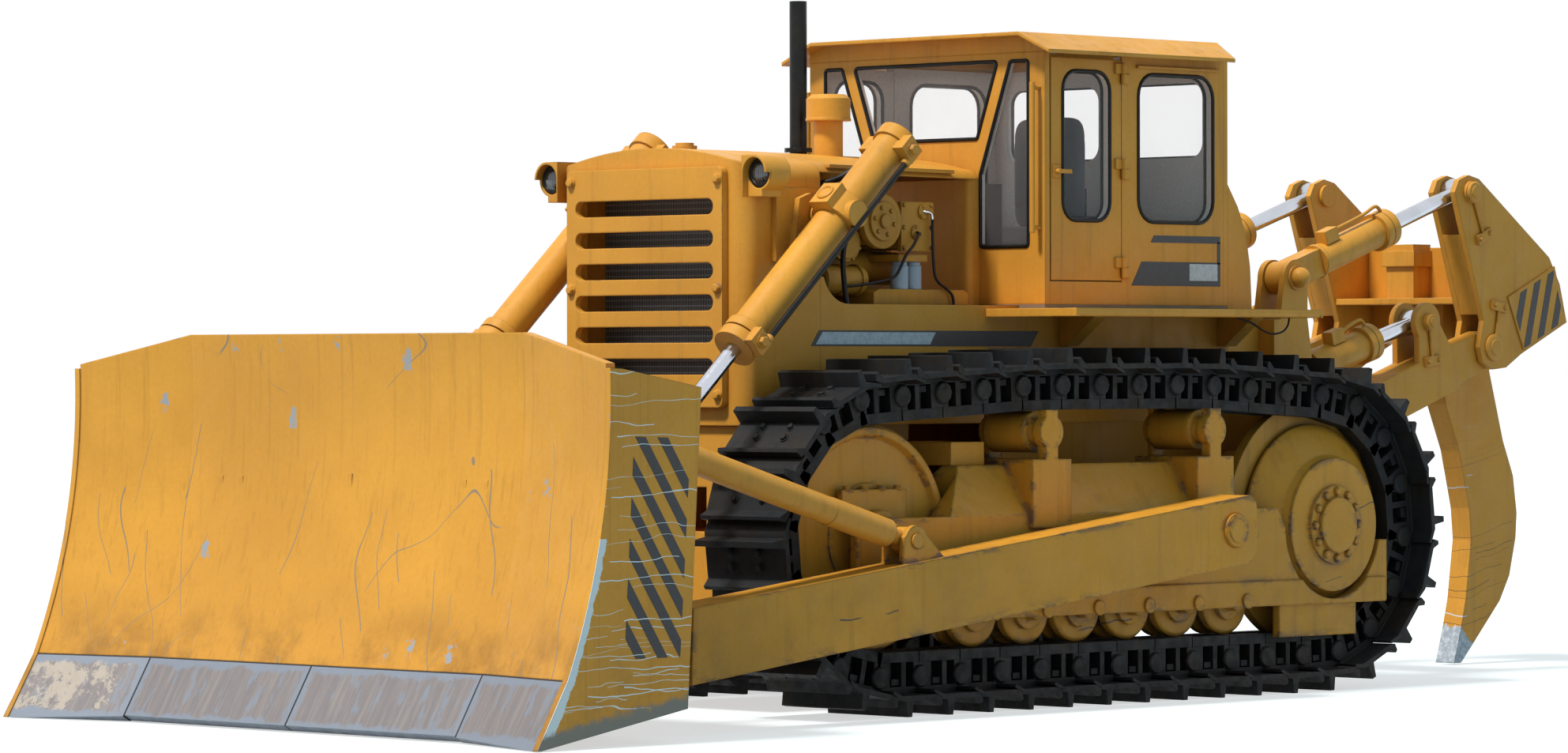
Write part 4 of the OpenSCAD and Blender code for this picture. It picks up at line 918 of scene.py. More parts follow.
@dataclass(frozen=True)
class Chrome:
    """Hard chrome of a cylinder rod, with a film of oil."""

    name: str = "rod_chrome_finish"
    colour: Colour = (0.80, 0.82, 0.86)

    def build(self) -> bpy.types.Material:
        """Makes the material."""
        g = Graph(self.name)
        tone = g.mix(g.remap(g.noise(4, 6), 0.4, 0.75) * 0.25, self.colour, (0.50, 0.49, 0.46))
        return g.set(Base_Color=tone, Roughness=g.remap(g.noise(30, 4), 0.3, 0.7, 0.12, 0.24), Metallic=1.0)


@dataclass(frozen=True)
class Rubber:
    """Black rubber or plastic, dusty in places.

    Args:
        name: Material name.
        colour: Colour of the material.
        dust: How much dust lies on it.
        rough: Roughness.
        grain: Size of the surface grain, as a noise scale.
    """

    name: str
    colour: Colour
    dust: float
    rough: float
    grain: float = 120.0

    def build(self) -> bpy.types.Material:
        """Makes the material."""
        g = Graph(self.name)
        film = g.remap(g.noise(5, 7, 0.65), 0.4, 0.75)
        tone = g.mix(film * self.dust, self.colour, (0.42, 0.37, 0.30))
        rough = g.remap(film, 0.0, 1.0, self.rough - 0.08, self.rough + 0.15)
        normal = g.bump(g.noise(self.grain, 3), 0.12, 0.002, g.edge(0.004)[0])
        return g.set(Base_Color=tone, Roughness=rough, Normal=normal, Specular_IOR_Level=0.2)


@dataclass(frozen=True)
class Pane:
    """Thin safety glass: clear, with a faint grey film of dust that is thicker in patches.

    Args:
        name: Material name.
        film: Colour of the film.
        cover: Least and greatest share of light that the film holds back.
    """

    name: str = "cab_glass_finish"
    film: Colour = (0.86, 0.82, 0.83)
    cover: Pair = (0.045, 0.075)

    def build(self) -> bpy.types.Material:
        """Makes the material."""
        g = Graph(self.name)
        return g.set(Base_Color=self.film, Roughness=0.05,
                     Alpha=g.remap(g.noise(2.4, 6, 0.65), 0.4, 0.85, *self.cover))


@dataclass(frozen=True)
class Lens:
    """Ribbed lamp glass over a dark bowl, with painted shading across each rib."""

    name: str = "lamp_lens_finish"

    def build(self) -> bpy.types.Material:
        """Makes the material."""
        g = Graph(self.name)
        rib = g.math("SINE", g.axes()[1] * 420.0)
        # Painted shading: each rib is dark in its groove and light on its crest, in step with its bump.
        tone = g.mix(g.remap(rib, -1, 1), (0.10, 0.11, 0.13), (0.24, 0.26, 0.29))
        normal = g.bump(rib, 0.4, 0.003)
        return g.set(Base_Color=tone, Roughness=0.12, Metallic=0.2, Coat_Weight=1.0, Normal=normal)


@dataclass(frozen=True)
class Core:
    """Radiator core: fine upright fins between level tubes, drawn on a flat face as light lines with painted
    shade in the gaps between them.
    """

    name: str = "radiator_core_finish"
    fin: float = 0.012
    row: float = 0.034

    def build(self) -> bpy.types.Material:
        """Makes the material."""
        g = Graph(self.name)
        _, y, z = g.axes()
        fins = g.math("SINE", y * (2 * math.pi / self.fin))
        rows = g.math("SINE", z * (2 * math.pi / self.row))
        mesh = g.remap(fins, -0.6, 0.8) + g.remap(rows, 0.3, 1.0) * 0.7
        # Painted shade: the gaps between fins and tubes are dark, like the shade inside a deep core; the fin
        # and tube lines are light.
        tone = g.mix(mesh, (0.08, 0.082, 0.088), (0.62, 0.63, 0.65))
        return g.set(Base_Color=tone, Roughness=0.6, Metallic=0.3, Normal=g.bump(mesh, 0.6, 0.006))


@dataclass(frozen=True)
class Fabric:
    """Woven seat cloth: two crossed thread waves."""

    name: str = "seat_fabric_finish"
    colour: Colour = (0.50, 0.49, 0.50)
    thread: float = 0.006

    def build(self) -> bpy.types.Material:
        """Makes the material."""
        g = Graph(self.name)
        x, y, z = g.axes()
        k = 2 * math.pi / self.thread
        weave = g.math("SINE", y * k) * g.math("SINE", (x + z) * k)
        tone = g.mix(g.remap(weave, -1, 1), (0.38, 0.375, 0.39), self.colour)
        tone = g.mix(g.remap(g.noise(5, 5), 0.4, 0.75) * 0.3, tone, (0.42, 0.41, 0.40))
        return g.set(Base_Color=tone, Roughness=0.85, Sheen_Weight=0.3, Normal=g.bump(weave, 0.3, 0.002))


@dataclass(frozen=True)
class Stripe:
    """Painted marking with scuffs that show the coat beneath.

    Args:
        name: Material name.
        colour: Colour of the marking.
        under: Colour of the coat beneath.
        scuffs: How much of the marking is gone.
        scratched: Whether the blade's scratches run on over it.
    """

    name: str
    colour: Colour = (0.135, 0.145, 0.17)
    under: Colour = (0.80, 0.55, 0.17)
    scuffs: float = 0.3
    scratched: bool = False

    def build(self) -> bpy.types.Material:
        """Makes the material."""
        g = Graph(self.name)
        fade = g.mix(g.remap(g.noise(40, 4, 0.7), 0.35, 0.7) * 0.3, self.colour, (0.24, 0.25, 0.28))
        scuff = g.remap(g.noise(6.5, 9, 0.74, g.stretch((1, 1, 3.2))), 0.72 - 0.12 * self.scuffs, 0.74)
        tone = g.mix(scuff, fade, self.under)
        if self.scratched:
            tone = g.mix(g.level_scratches(*FINE_SCRATCHES), tone, SCRATCH_WHITE)
        return g.set(Base_Color=tone, Roughness=0.5)


@dataclass
class Finishes:
    """All materials, made once."""

    made: dict[str, bpy.types.Material] = field(default_factory=dict)

    def __post_init__(self) -> None:
        """Makes every material."""
        plans: dict[str, Any] = {
            "paint": Paint("machine_paint"),
            "low": Paint("undercarriage_paint", chips=0.9, corner_shade=0.7, dust_top=1.3, streaks=0.2, wear=0.024,
                         colour=(0.87, 0.60, 0.19), shade=(0.79, 0.55, 0.18), scrapes=0.85),
            "cab": CabPaint("cab_paint", chips=0.25, streaks=0.22),
            "engine": Paint("engine_paint_finish", (0.82, 0.57, 0.18), (0.72, 0.50, 0.17), corner_shade=0.8),
            "blade": BladePaint("blade_paint", streaks=0.17, fine=13.0),
            "shank": ShankPaint("shank_finish"),
            "track": Steel("track_steel_finish", (0.105, 0.112, 0.125), (0.125, 0.110, 0.095), 0.5,
                           (0.23, 0.245, 0.27), 0.1, 0.6),
            "sprocket": Paint("sprocket_paint", (0.80, 0.56, 0.19), (0.66, 0.47, 0.17), 0.9, 0.9, 0.3),
            "pin": Steel("pin_steel_finish", (0.50, 0.53, 0.58), (0.50, 0.44, 0.38), 0.4,
                         (0.80, 0.82, 0.86), 0.4, 0.42),
            "edge": EdgeSteel(),
            "chrome": Chrome(),
            "glass": Pane(),
            "lens": Lens(),
            "core": Core(),
            "fabric": Fabric(),
            "hose": Rubber("hose_rubber", (0.055, 0.055, 0.06), 0.08, 0.45),
            "seal": Rubber("seal_rubber", (0.05, 0.05, 0.055), 0.05, 0.45),
            "stack": Rubber("stack_paint", (0.085, 0.09, 0.10), 0.08, 0.32, 60.0),
            "dash": Rubber("dash_plastic_finish", (0.19, 0.18, 0.18), 0.2, 0.55, 200.0),
            "floor": Rubber("floor_paint", (0.52, 0.45, 0.38), 0.45, 0.6),
            "filter": Paint("filter_paint", (0.72, 0.77, 0.84), (0.62, 0.67, 0.74), 0.2, 0.5, 0.05),
            "dark": Stripe("marking_dark"),
            "scratched": Stripe("marking_scratched", scratched=True),
            "pale": Stripe("marking_pale", (0.78, 0.82, 0.87), (0.30, 0.32, 0.36), 0.15),
        }
        self.made = {key: plan.build() for key, plan in plans.items()}

    def __getitem__(self, key: str) -> bpy.types.Material:
        """Material by its short name."""
        return self.made[key]

    def dress(self) -> None:
        """Puts a material on every CAD node."""
        special = {
            "engine": "engine", "oil_filters": "filter", "radiator_core": "core", "exhaust_stack": "stack",
            "headlamps": "lens", "cab_floor": "floor", "seat_base": "dash", "controls": "dash",
            "seat_cushion": "fabric", "tracks": "track", "sprockets": "sprocket", "cutting_edge": "edge",
            "ripper_pins": "pin", "lift_rods": "chrome", "tilt_rods": "chrome", "ripper_lift_rods": "chrome",
            "moldboard": "blade", "ripper_shank": "shank", "idlers": "low", "track_rollers": "low",
            "track_frames": "low", "final_drives": "low", "push_arms": "low",
        }
        for name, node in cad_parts.items():
            plain = "glass" if "glass" in name else "cab" if name.startswith(("cab_", "door_")) else "paint"
            node.data.materials.clear()
            node.data.materials.append(self[special.get(name, plain)])


@dataclass(frozen=True)
class ViewPoint:
    """Camera of the photograph.

    Args:
        place: Camera position from the maker's datum.
        yaw: Heading of the view in degrees.
        pitch: Rise of the view in degrees.
        roll: Turn of the picture in degrees.
        lens: Focal length in millimetres on a 36 mm sensor.
    """

    place: Point = (25.433, 23.869, 1.918)
    yaw: float = 44.817
    pitch: float = -0.103
    roll: float = -0.089
    lens: float = 136.885

    def build(self) -> None:
        """Adds the camera to the scene."""
        y, p, r = (math.radians(v) for v in (self.yaw, self.pitch, self.roll))
        forward = Vector((-math.cos(y) * math.cos(p), -math.sin(y) * math.cos(p), math.sin(p)))
        right = forward.cross(Vector((0, 0, 1))).normalized()
        up = right.cross(forward)
        side = right * math.cos(r) + up * math.sin(r)
        top = up * math.cos(r) - right * math.sin(r)
        data = bpy.data.cameras.new("camera")
        data.lens = self.lens
        data.sensor_width = 36.0
        data.sensor_fit = "HORIZONTAL"
        data.clip_end = 200.0
        camera = bpy.data.objects.new("camera", data)
        bpy.context.scene.collection.objects.link(camera)
        turn = Matrix((side, top, -forward)).transposed().to_4x4()
        camera.matrix_world = Matrix.Translation(Vector(spot(*self.place))) @ turn
        bpy.context.scene.camera = camera


@dataclass(frozen=True)
class Studio:
    """Floor, world and main lamp.

    Args:
        floor_size: Half-width of the floor.
        floor_tone: Colour of the floor.
        floor_glow: Share of white that the floor shows by itself.
        fill: Strength of the world's even light.
        fill_tint: Its colour.
        key: Strength of the main lamp.
        key_tint: Its colour.
        key_from: Direction the main light comes from.
        key_spread: Angle that the main lamp fills, in degrees.
    """

    floor_size: float = 60.0
    floor_tone: Colour = (0.62, 0.665, 0.68)
    floor_glow: float = 0.6
    fill: float = 0.43
    fill_tint: Colour = (0.56, 0.90, 1.02)
    key: float = 3.8
    key_tint: Colour = (1.0, 0.97, 0.90)
    key_from: Point = (1.0, -0.10, 1.69)
    key_spread: float = 9.0

    def build(self) -> None:
        """Adds the floor, the world and the lamp."""
        scene = bpy.context.scene
        scene.view_settings.view_transform = "Standard"
        self.world(scene)
        self.floor(scene)
        sun = bpy.data.lights.new("key", "SUN")
        sun.energy = self.key
        sun.color = self.key_tint
        sun.angle = math.radians(self.key_spread)
        lamp = bpy.data.objects.new("key", sun)
        scene.collection.objects.link(lamp)
        lamp.rotation_euler = (-Vector(self.key_from)).to_track_quat("-Z", "Y").to_euler()

    @staticmethod
    def seen(tree: bpy.types.NodeTree) -> Socket:
        """Light Path value that is 1 for camera, glossy and transmission rays."""
        path = tree.nodes.new("ShaderNodeLightPath")
        value = path.outputs["Is Camera Ray"]
        for ray in ("Is Transmission Ray", "Is Glossy Ray"):
            both = tree.nodes.new("ShaderNodeMath")
            both.operation = "MAXIMUM"
            tree.links.new(value, both.inputs[0])
            tree.links.new(path.outputs[ray], both.inputs[1])
            value = both.outputs[0]
        return value

    def world(self, scene: bpy.types.Scene) -> None:
        """White background with a softer even light behind it."""
        world = bpy.data.worlds.new("studio")
        scene.world = world
        world.use_nodes = True
        tree = world.node_tree
        light = tree.nodes.new("ShaderNodeMix")
        light.data_type = "RGBA"
        light.inputs[6].default_value = (*(self.fill * c for c in self.fill_tint), 1)
        light.inputs[7].default_value = (1, 1, 1, 1)
        tree.links.new(self.seen(tree), light.inputs[0])
        tree.links.new(light.outputs[2], tree.nodes["Background"].inputs["Color"])

    def floor(self, scene: bpy.types.Scene) -> None:
        """Pale floor that keeps the shadow and shows white where it is lit."""
        s = self.floor_size
        mesh = bpy.data.meshes.new("floor")
        mesh.from_pydata([(x, y, 0) for x, y in rectangle((-s, s), (-s, s))], [], [(0, 1, 2, 3)])
        floor = bpy.data.objects.new("floor", mesh)
        scene.collection.objects.link(floor)
        g = Graph("floor_pale")
        glow = Value(g, self.seen(g.tree)) * self.floor_glow
        white = (1.0, 1.0, 1.0)
        mesh.materials.append(g.set(Base_Color=self.floor_tone, Roughness=0.9, Emission_Color=white,
                                    Emission_Strength=glow))


@dataclass
class Tracks:
    """Two chains of grouser shoes on linked rails.

    Args:
        shoe_width: Width of a shoe.
        shoes: Shoes in a track.
        pin_radius: Radius of the pin line round the wheels.
        carrier_x: Places of the two carrier rollers.
        rise: Height of the carriers over the straight run.
        plate: Inner and outer face of a shoe plate from the pin line.
        tip: Grouser tip from the pin line.
        rail: Rail edge from the pin line.
        window: Lower and upper end of a window from the pin line.
        web: Inner and outer face of a link's side plate.
    """

    shoe_width: float = 0.61
    shoes: int = 38
    pin_radius: float = 0.773
    carrier_x: Pair = (0.690, -0.710)
    rise: float = 0.066
    plate: Pair = (0.086, 0.116)
    tip: float = 0.2025
    rail: float = -0.146
    window: Pair = (-0.088, 0.046)
    web: Pair = (0.060, 0.152)

    def pins(self) -> Array:
        """Pin places round the loop: idler arc, three upper runs, sprocket arc, ground run.

        Returns:
            Rows of x and z, one more than the shoes.
        """
        r = self.pin_radius
        idler = np.array([IDLER_X, AXLE_Z])
        sprocket = np.array([SPROCKET_X, AXLE_Z])
        hump = np.array([[x, AXLE_Z + r + self.rise] for x in self.carrier_x])
        to_front, to_rear = hump[0] - idler, hump[1] - sprocket
        front = math.atan2(to_front[1], to_front[0]) - math.acos(r / np.linalg.norm(to_front))
        rear = math.atan2(to_rear[1], to_rear[0]) + math.acos(r / np.linalg.norm(to_rear))
        up = np.linspace(-math.pi / 2, front, 200)
        down = np.linspace(rear, 1.5 * math.pi, 200)
        line = np.concatenate([
            idler + r * np.stack([np.cos(up), np.sin(up)], 1),
            hump,
            sprocket + r * np.stack([np.cos(down), np.sin(down)], 1),
            (idler - [0, r])[None],
        ])
        return evenly(line, self.shoes + 1)

    def places(self, side: Side) -> tuple[Array, float]:
        """Matrix of each link, from along, across and outward to the row frame.

        Args:
            side: Side of the machine.

        Returns:
            Matrices and the pitch of the chain.
        """
        pins = self.pins()
        step = np.diff(pins, axis=0)
        pitch = np.linalg.norm(step, axis=1, keepdims=True)
        d = step / pitch
        middle = (pins[1:] + pins[:-1]) / 2
        m = np.tile(np.eye(4), (self.shoes, 1, 1))
        m[:, 0, 0], m[:, 2, 0] = d[:, 0], d[:, 1]
        m[:, 0, 2], m[:, 2, 2] = d[:, 1], -d[:, 0]
        m[:, 0, 3], m[:, 2, 3] = middle[:, 0] + ORIGIN_X, middle[:, 1]
        m[:, 1, 3] = side.value * TRACK_Y
        return m, float(pitch.mean())

    def side_plate(self, shape: Shell, h: float, s: int) -> None:
        """Adds one side plate of a link, built of bars so that its two windows stay open.

        Args:
            shape: Shell of the link.
            h: Half the pitch.
            s: Side of the link, 1 or -1.
        """
        bottom, top = self.window
        near, far = self.web

        def bar(x: Pair, y: Pair, z: Pair) -> None:
            """Adds a block, its limits across the track counted outward from the link's middle."""
            y0, y1 = sorted((s * y[0], s * y[1]))
            shape.box((x[0], y0, z[0]), (x[1], y1, z[1]))

        bar((-h - 0.004, h + 0.004), self.web, (self.rail, bottom))
        bar((-h - 0.002, h + 0.002), self.web, (top, self.plate[0] + 0.004))
        for x in ((-h - 0.002, -h + 0.046), (-h + 0.108, -h + 0.144), (-h + 0.236, h + 0.002)):
            bar(x, self.web, (bottom - 0.001, top + 0.001))
        bar((-h, h), (near, near + 0.012), (bottom - 0.002, top + 0.002))
        bar((-h + 0.150, -h + 0.208), (near + 0.01, far - 0.012), (0.004, top - 0.008))
        boss = [[0, 0], [0.064, 0], [0.064, 0.014], [0.056, 0.024], [0, 0.024]]
        shape.lathe(boss, (-h, s * (far - 0.004), -0.008), (0, s, 0), 10)

    def link(self, pitch: float) -> Shell:
        """One link with its shoe, along X, across Y and outward Z.

        The shoe is a profile with a hooked front lip and a tapered grouser, carried across the track.

        Args:
            pitch: Distance between pins.

        Returns:
            The shell of one link.
        """
        h = pitch / 2
        lo, hi = self.plate
        w = self.shoe_width / 2
        shoe = [
            [-h - 0.020, lo + 0.012], [-h + 0.030, lo - 0.002], [h - 0.035, lo], [h + 0.036, lo - 0.030],
            [h + 0.040, lo - 0.014], [h - 0.040, hi], [h - 0.066, hi], [h - 0.074, self.tip],
            [h - 0.108, self.tip], [h - 0.120, hi], [-h + 0.034, hi - 0.004], [-h - 0.006, hi + 0.034],
            [-h - 0.024, hi + 0.024]]
        shape = Shell().prism(shoe, Axis.Y, -w, w)
        heads = np.array([[x, y, hi] for x in (-0.062, 0.016) for y in (-0.105, 0.105)])
        shape.join(bolts(heads, (0, 0, 1), 0.040))
        for s in SIDES:
            self.side_plate(shape, h, s)
        return shape.lathe([[0, 0], [0.050, 0], [0.050, 0.12], [0, 0.12]], (-h, -0.06, 0.0), (0, 1, 0), 12)

    def build(self, finish: Finishes) -> None:
        """Makes both tracks in place of the CAD loops."""
        for side in Side:
            places, pitch = self.places(side)
            track = Shell().copies(self.link(pitch), places)
            track.build("track_" + side.tag, "tractor", "track_steel", finish["track"], 30, ("tracks",))


@dataclass
class Hose:
    """A flexible hose that runs between two fittings.

    Args:
        name: Object name.
        points: Points it passes, from the maker's datum.
        radius: Half its thickness.
        body: Body that carries it.
        lay: How it lies; not used.
        bend: Second body that it reaches.
    """

    name: str
    points: Sequence[Point]
    radius: float
    body: str = "tractor"
    lay: str = "hanging"
    bend: Bend | None = None

    def build(self, finish: Finishes) -> None:
        route = smooth_path(np.asarray(self.points, float) + SHIFT, 40)
        tube = Shell().tube(route, oval(self.radius, self.radius))
        piece = tube.build(self.name, self.body, "black_paint", finish["hose"], 60, bend=self.bend)


@dataclass
class Cab:
    """Window seals, markings, seat and controls of the cab.

    Args:
        half_width: Outer face of the side walls.
        front_x: Outer face of the front wall.
        rear_x: Outer face of the rear wall.
        wall: Thickness of a side wall.
        side_pane: Limits of a rear side window along X.
        door_pane: Limits of a door window along X.
        pane_z: Limits of the side windows along Z.
        rear_pane: Limits of a rear window along Y and Z.
        shield: Corners of the windscreen along Y and Z.
        corner: Corners of a corner window along Y and Z.
        seal: Half-width and half-thickness of a window seal.
    """

    half_width: float = 0.940
    front_x: float = 0.242
    rear_x: float = -1.356
    wall: float = 0.060
    side_pane: Pair = (-1.225, -0.562)
    door_pane: Pair = (-0.315, 0.091)
    pane_z: Pair = (2.750, 3.608)
    rear_pane: tuple[Pair, Pair] = ((0.042, 0.780), (3.148, 3.590))
    shield: tuple[Pair, ...] = ((-0.573, 3.665), (0.573, 3.665), (0.413, 3.224), (-0.413, 3.224))
    corner: tuple[Pair, ...] = ((0.672, 3.663), (0.812, 3.663), (0.812, 2.600), (0.437, 2.600),
                                (0.437, 3.017))
    seal: Pair = (0.0115, 0.010)

    def bead(self, outline: Array, axis: Axis, face: float) -> Shell:
        """A rubber bead round a window: a flat oval section carried round the opening at a wall's face."""
        return Shell().tube(in_plane(outline, axis, face), oval(*self.seal, 10), closed=True)

    def side_beads(self, pane: Pair, radius: float, s: int) -> Shell:
        """Beads of a side window, outside and inside.

        Args:
            pane: Limits of the window along X.
            radius: Radius of its corners.
            s: Side sign.

        Returns:
            Both beads.
        """
        outline = rounded(rectangle(pane, self.pane_z), radius) + SHIFT[:2]
        outer = self.bead(outline, Axis.Y, s * self.half_width)
        return outer.join(self.bead(outline, Axis.Y, s * (self.half_width - self.wall)))

    def seals(self, finish: Finishes) -> None:
        """Puts a bead round every window."""
        front, rear = self.front_x + ORIGIN_X, self.rear_x + ORIGIN_X
        fixed = Shell()
        for s in SIDES:
            fixed.join(self.side_beads(self.side_pane, 0.130, s))
            fixed.join(self.bead(rounded(self.corner, 0.02) * [s, 1], Axis.X, front))
            fixed.join(self.bead(rounded(rectangle(*self.rear_pane), 0.090) * [s, 1], Axis.X, rear))
        fixed.join(self.bead(rounded(self.shield, 0.02), Axis.X, front))
        fixed.build("cab_seals", "tractor", "black_paint", finish["seal"], 60)
        for side in Side:
            bead = self.side_beads(self.door_pane, 0.110, side.value)
            bead.build("door_seal_" + side.tag, "door_" + side.tag, "black_paint", finish["seal"], 60)

    def markings(self, finish: Finishes) -> None:
        """Adds the two-tone panels on the cab's sides: thin plates with slanted fronts and a bar."""
        upper = [[-0.698, 2.673], [-1.288, 2.673], [-1.288, 2.632], [-0.670, 2.632]]
        lower = [[-0.590, 2.520], [-1.288, 2.520], [-1.288, 2.380], [-0.500, 2.380]]
        tail = rectangle((-1.262, -1.288), (2.640, 2.510))
        dark = Shell()
        for part in (upper, lower, tail):
            dark.plates(part, self.half_width, MARK)
        dark.build("cab_marking", "tractor", "black_paint", finish["dark"])
        pale = Shell().plates(rectangle((-1.260, -1.010), (2.412, 2.510)), self.half_width, BAR)
        pale.build("cab_marking_bar", "tractor", "filter_white", finish["pale"])

    def seat(self, finish: Finishes) -> None:
        """Makes the padded seat: each pad is a superellipsoid with sewn channels across it.

        The pad's radius along each axis follows cos and sin raised to a power below 1, which gives full,
        crowned sides, and a bell-shaped dip along its length draws in the sewn lines.
        """
        low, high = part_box("seat_cushion")
        base = ((low.x, high.x), (low.y, high.y), (low.z, low.z + 0.14))
        back = ((low.x + 0.005, low.x + 0.13), (low.y + 0.012, high.y - 0.012), (low.z + 0.13, high.z))
        pads = Shell()
        u = np.linspace(-np.pi / 2, np.pi / 2, 37)[:, None]
        v = np.linspace(0, 2 * np.pi, 96, endpoint=False)[None]

        def power(value: Array, exponent: float) -> Array:
            """Signed power of a value."""
            return np.sign(value) * np.abs(value) ** exponent

        for limits, flat, run in ((base, 2, 0), (back, 0, 2)):
            middle = np.array([(a + b) / 2 for a, b in limits])
            reach = np.array([(b - a) / 2 for a, b in limits])
            form = np.zeros((u.size, v.size, 3))
            first, second = (k for k in range(3) if k != flat)
            form[..., first] = power(np.cos(u), 0.35) * power(np.cos(v), 0.3)
            form[..., second] = power(np.cos(u), 0.35) * power(np.sin(v), 0.3)
            dip = 1 - 0.10 * np.exp(-((np.abs(form[..., run] * 5) % 2 - 1) / 0.16) ** 2)
            form[..., flat] = power(np.sin(u), 0.6) * dip
            pads.grid(middle + form * reach, close_v=True, caps=True)
        piece = pads.build("seat_pads", "tractor", "seat_fabric", finish["fabric"], 70, ("seat_cushion",))

    def fittings(self, finish: Finishes) -> None:
        """Adds the levers' grips and the gauges on the dash."""
        low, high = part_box("controls")
        grip = [[0, 0], [0.022, 0.004], [0.027, 0.03], [0.022, 0.07], [0, 0.082]]
        gauge = [[0, 0], [0.046, 0], [0.046, 0.012], [0.038, 0.016], [0.036, 0.008], [0, 0.008]]
        shape = Shell()
        for y in (-0.520, 0.500):
            shape.lathe(grip, spot(-0.380, y, high.z - 0.02), (0, 0, 1), 16)
        for y in (-0.26, -0.13, 0.0, 0.13, 0.26):
            shape.lathe(gauge, spot(0.040, y, low.z + 0.60), (-1, 0, 0), 24)
        shape.build("dash_gauges", "tractor", "dash_plastic", finish["seal"])

    def build(self, finish: Finishes) -> None:
        """Makes all the cab's pieces."""
        self.seals(finish)
        self.markings(finish)
        self.seat(finish)
        self.fittings(finish)


@dataclass
class Front:
    """Bolts of the radiator guard's door, and lamps.

    Args:
        door_x: Front face of the grille door.
        bolt_y: Distance of the door's bolts from the middle.
        bolt_z: Their heights.
        lamp: Middle of the left lamp.
        rim: Radius of a lamp's rim.
    """

    door_x: float = 2.516
    bolt_y: float = 0.585
    bolt_z: Point = (2.945, 2.345, 1.760)
    lamp: Point = (2.425, 0.829, 2.972)
    rim: float = 0.071

    def build(self, finish: Finishes) -> None:
        """Adds the door's bolts, and the rim and lens of each lamp."""
        seats = np.array([spot(self.door_x, s * self.bolt_y, z) for s in SIDES for z in self.bolt_z])
        bolts(seats, (1, 0, 0), 0.052).build("grille_bolts", "tractor", "yellow_paint", finish["paint"])
        rims = Shell()
        cos, sin = circle(40)
        ring = self.rim * np.stack([np.zeros_like(cos), cos, sin], 1)
        lens = [[0, 0.022], [0.03, 0.02], [0.055, 0.012], [0.066, 0.0], [0.066, -0.004], [0, -0.004]]
        x, y, z = self.lamp
        for side in (Side.RIGHT, Side.LEFT):
            middle = spot(x, side.value * y, z)
            rims.tube(middle + ring, oval(0.011, 0.011, 10), closed=True)
            glass = Shell().lathe(lens, middle, (1, 0, 0), 40)
            glass.build("lamp_lens_" + side.tag, "tractor", "lamp_lens", finish["lens"], 40)
        rims.build("lamp_rims", "tractor", "black_paint", finish["seal"], 60)


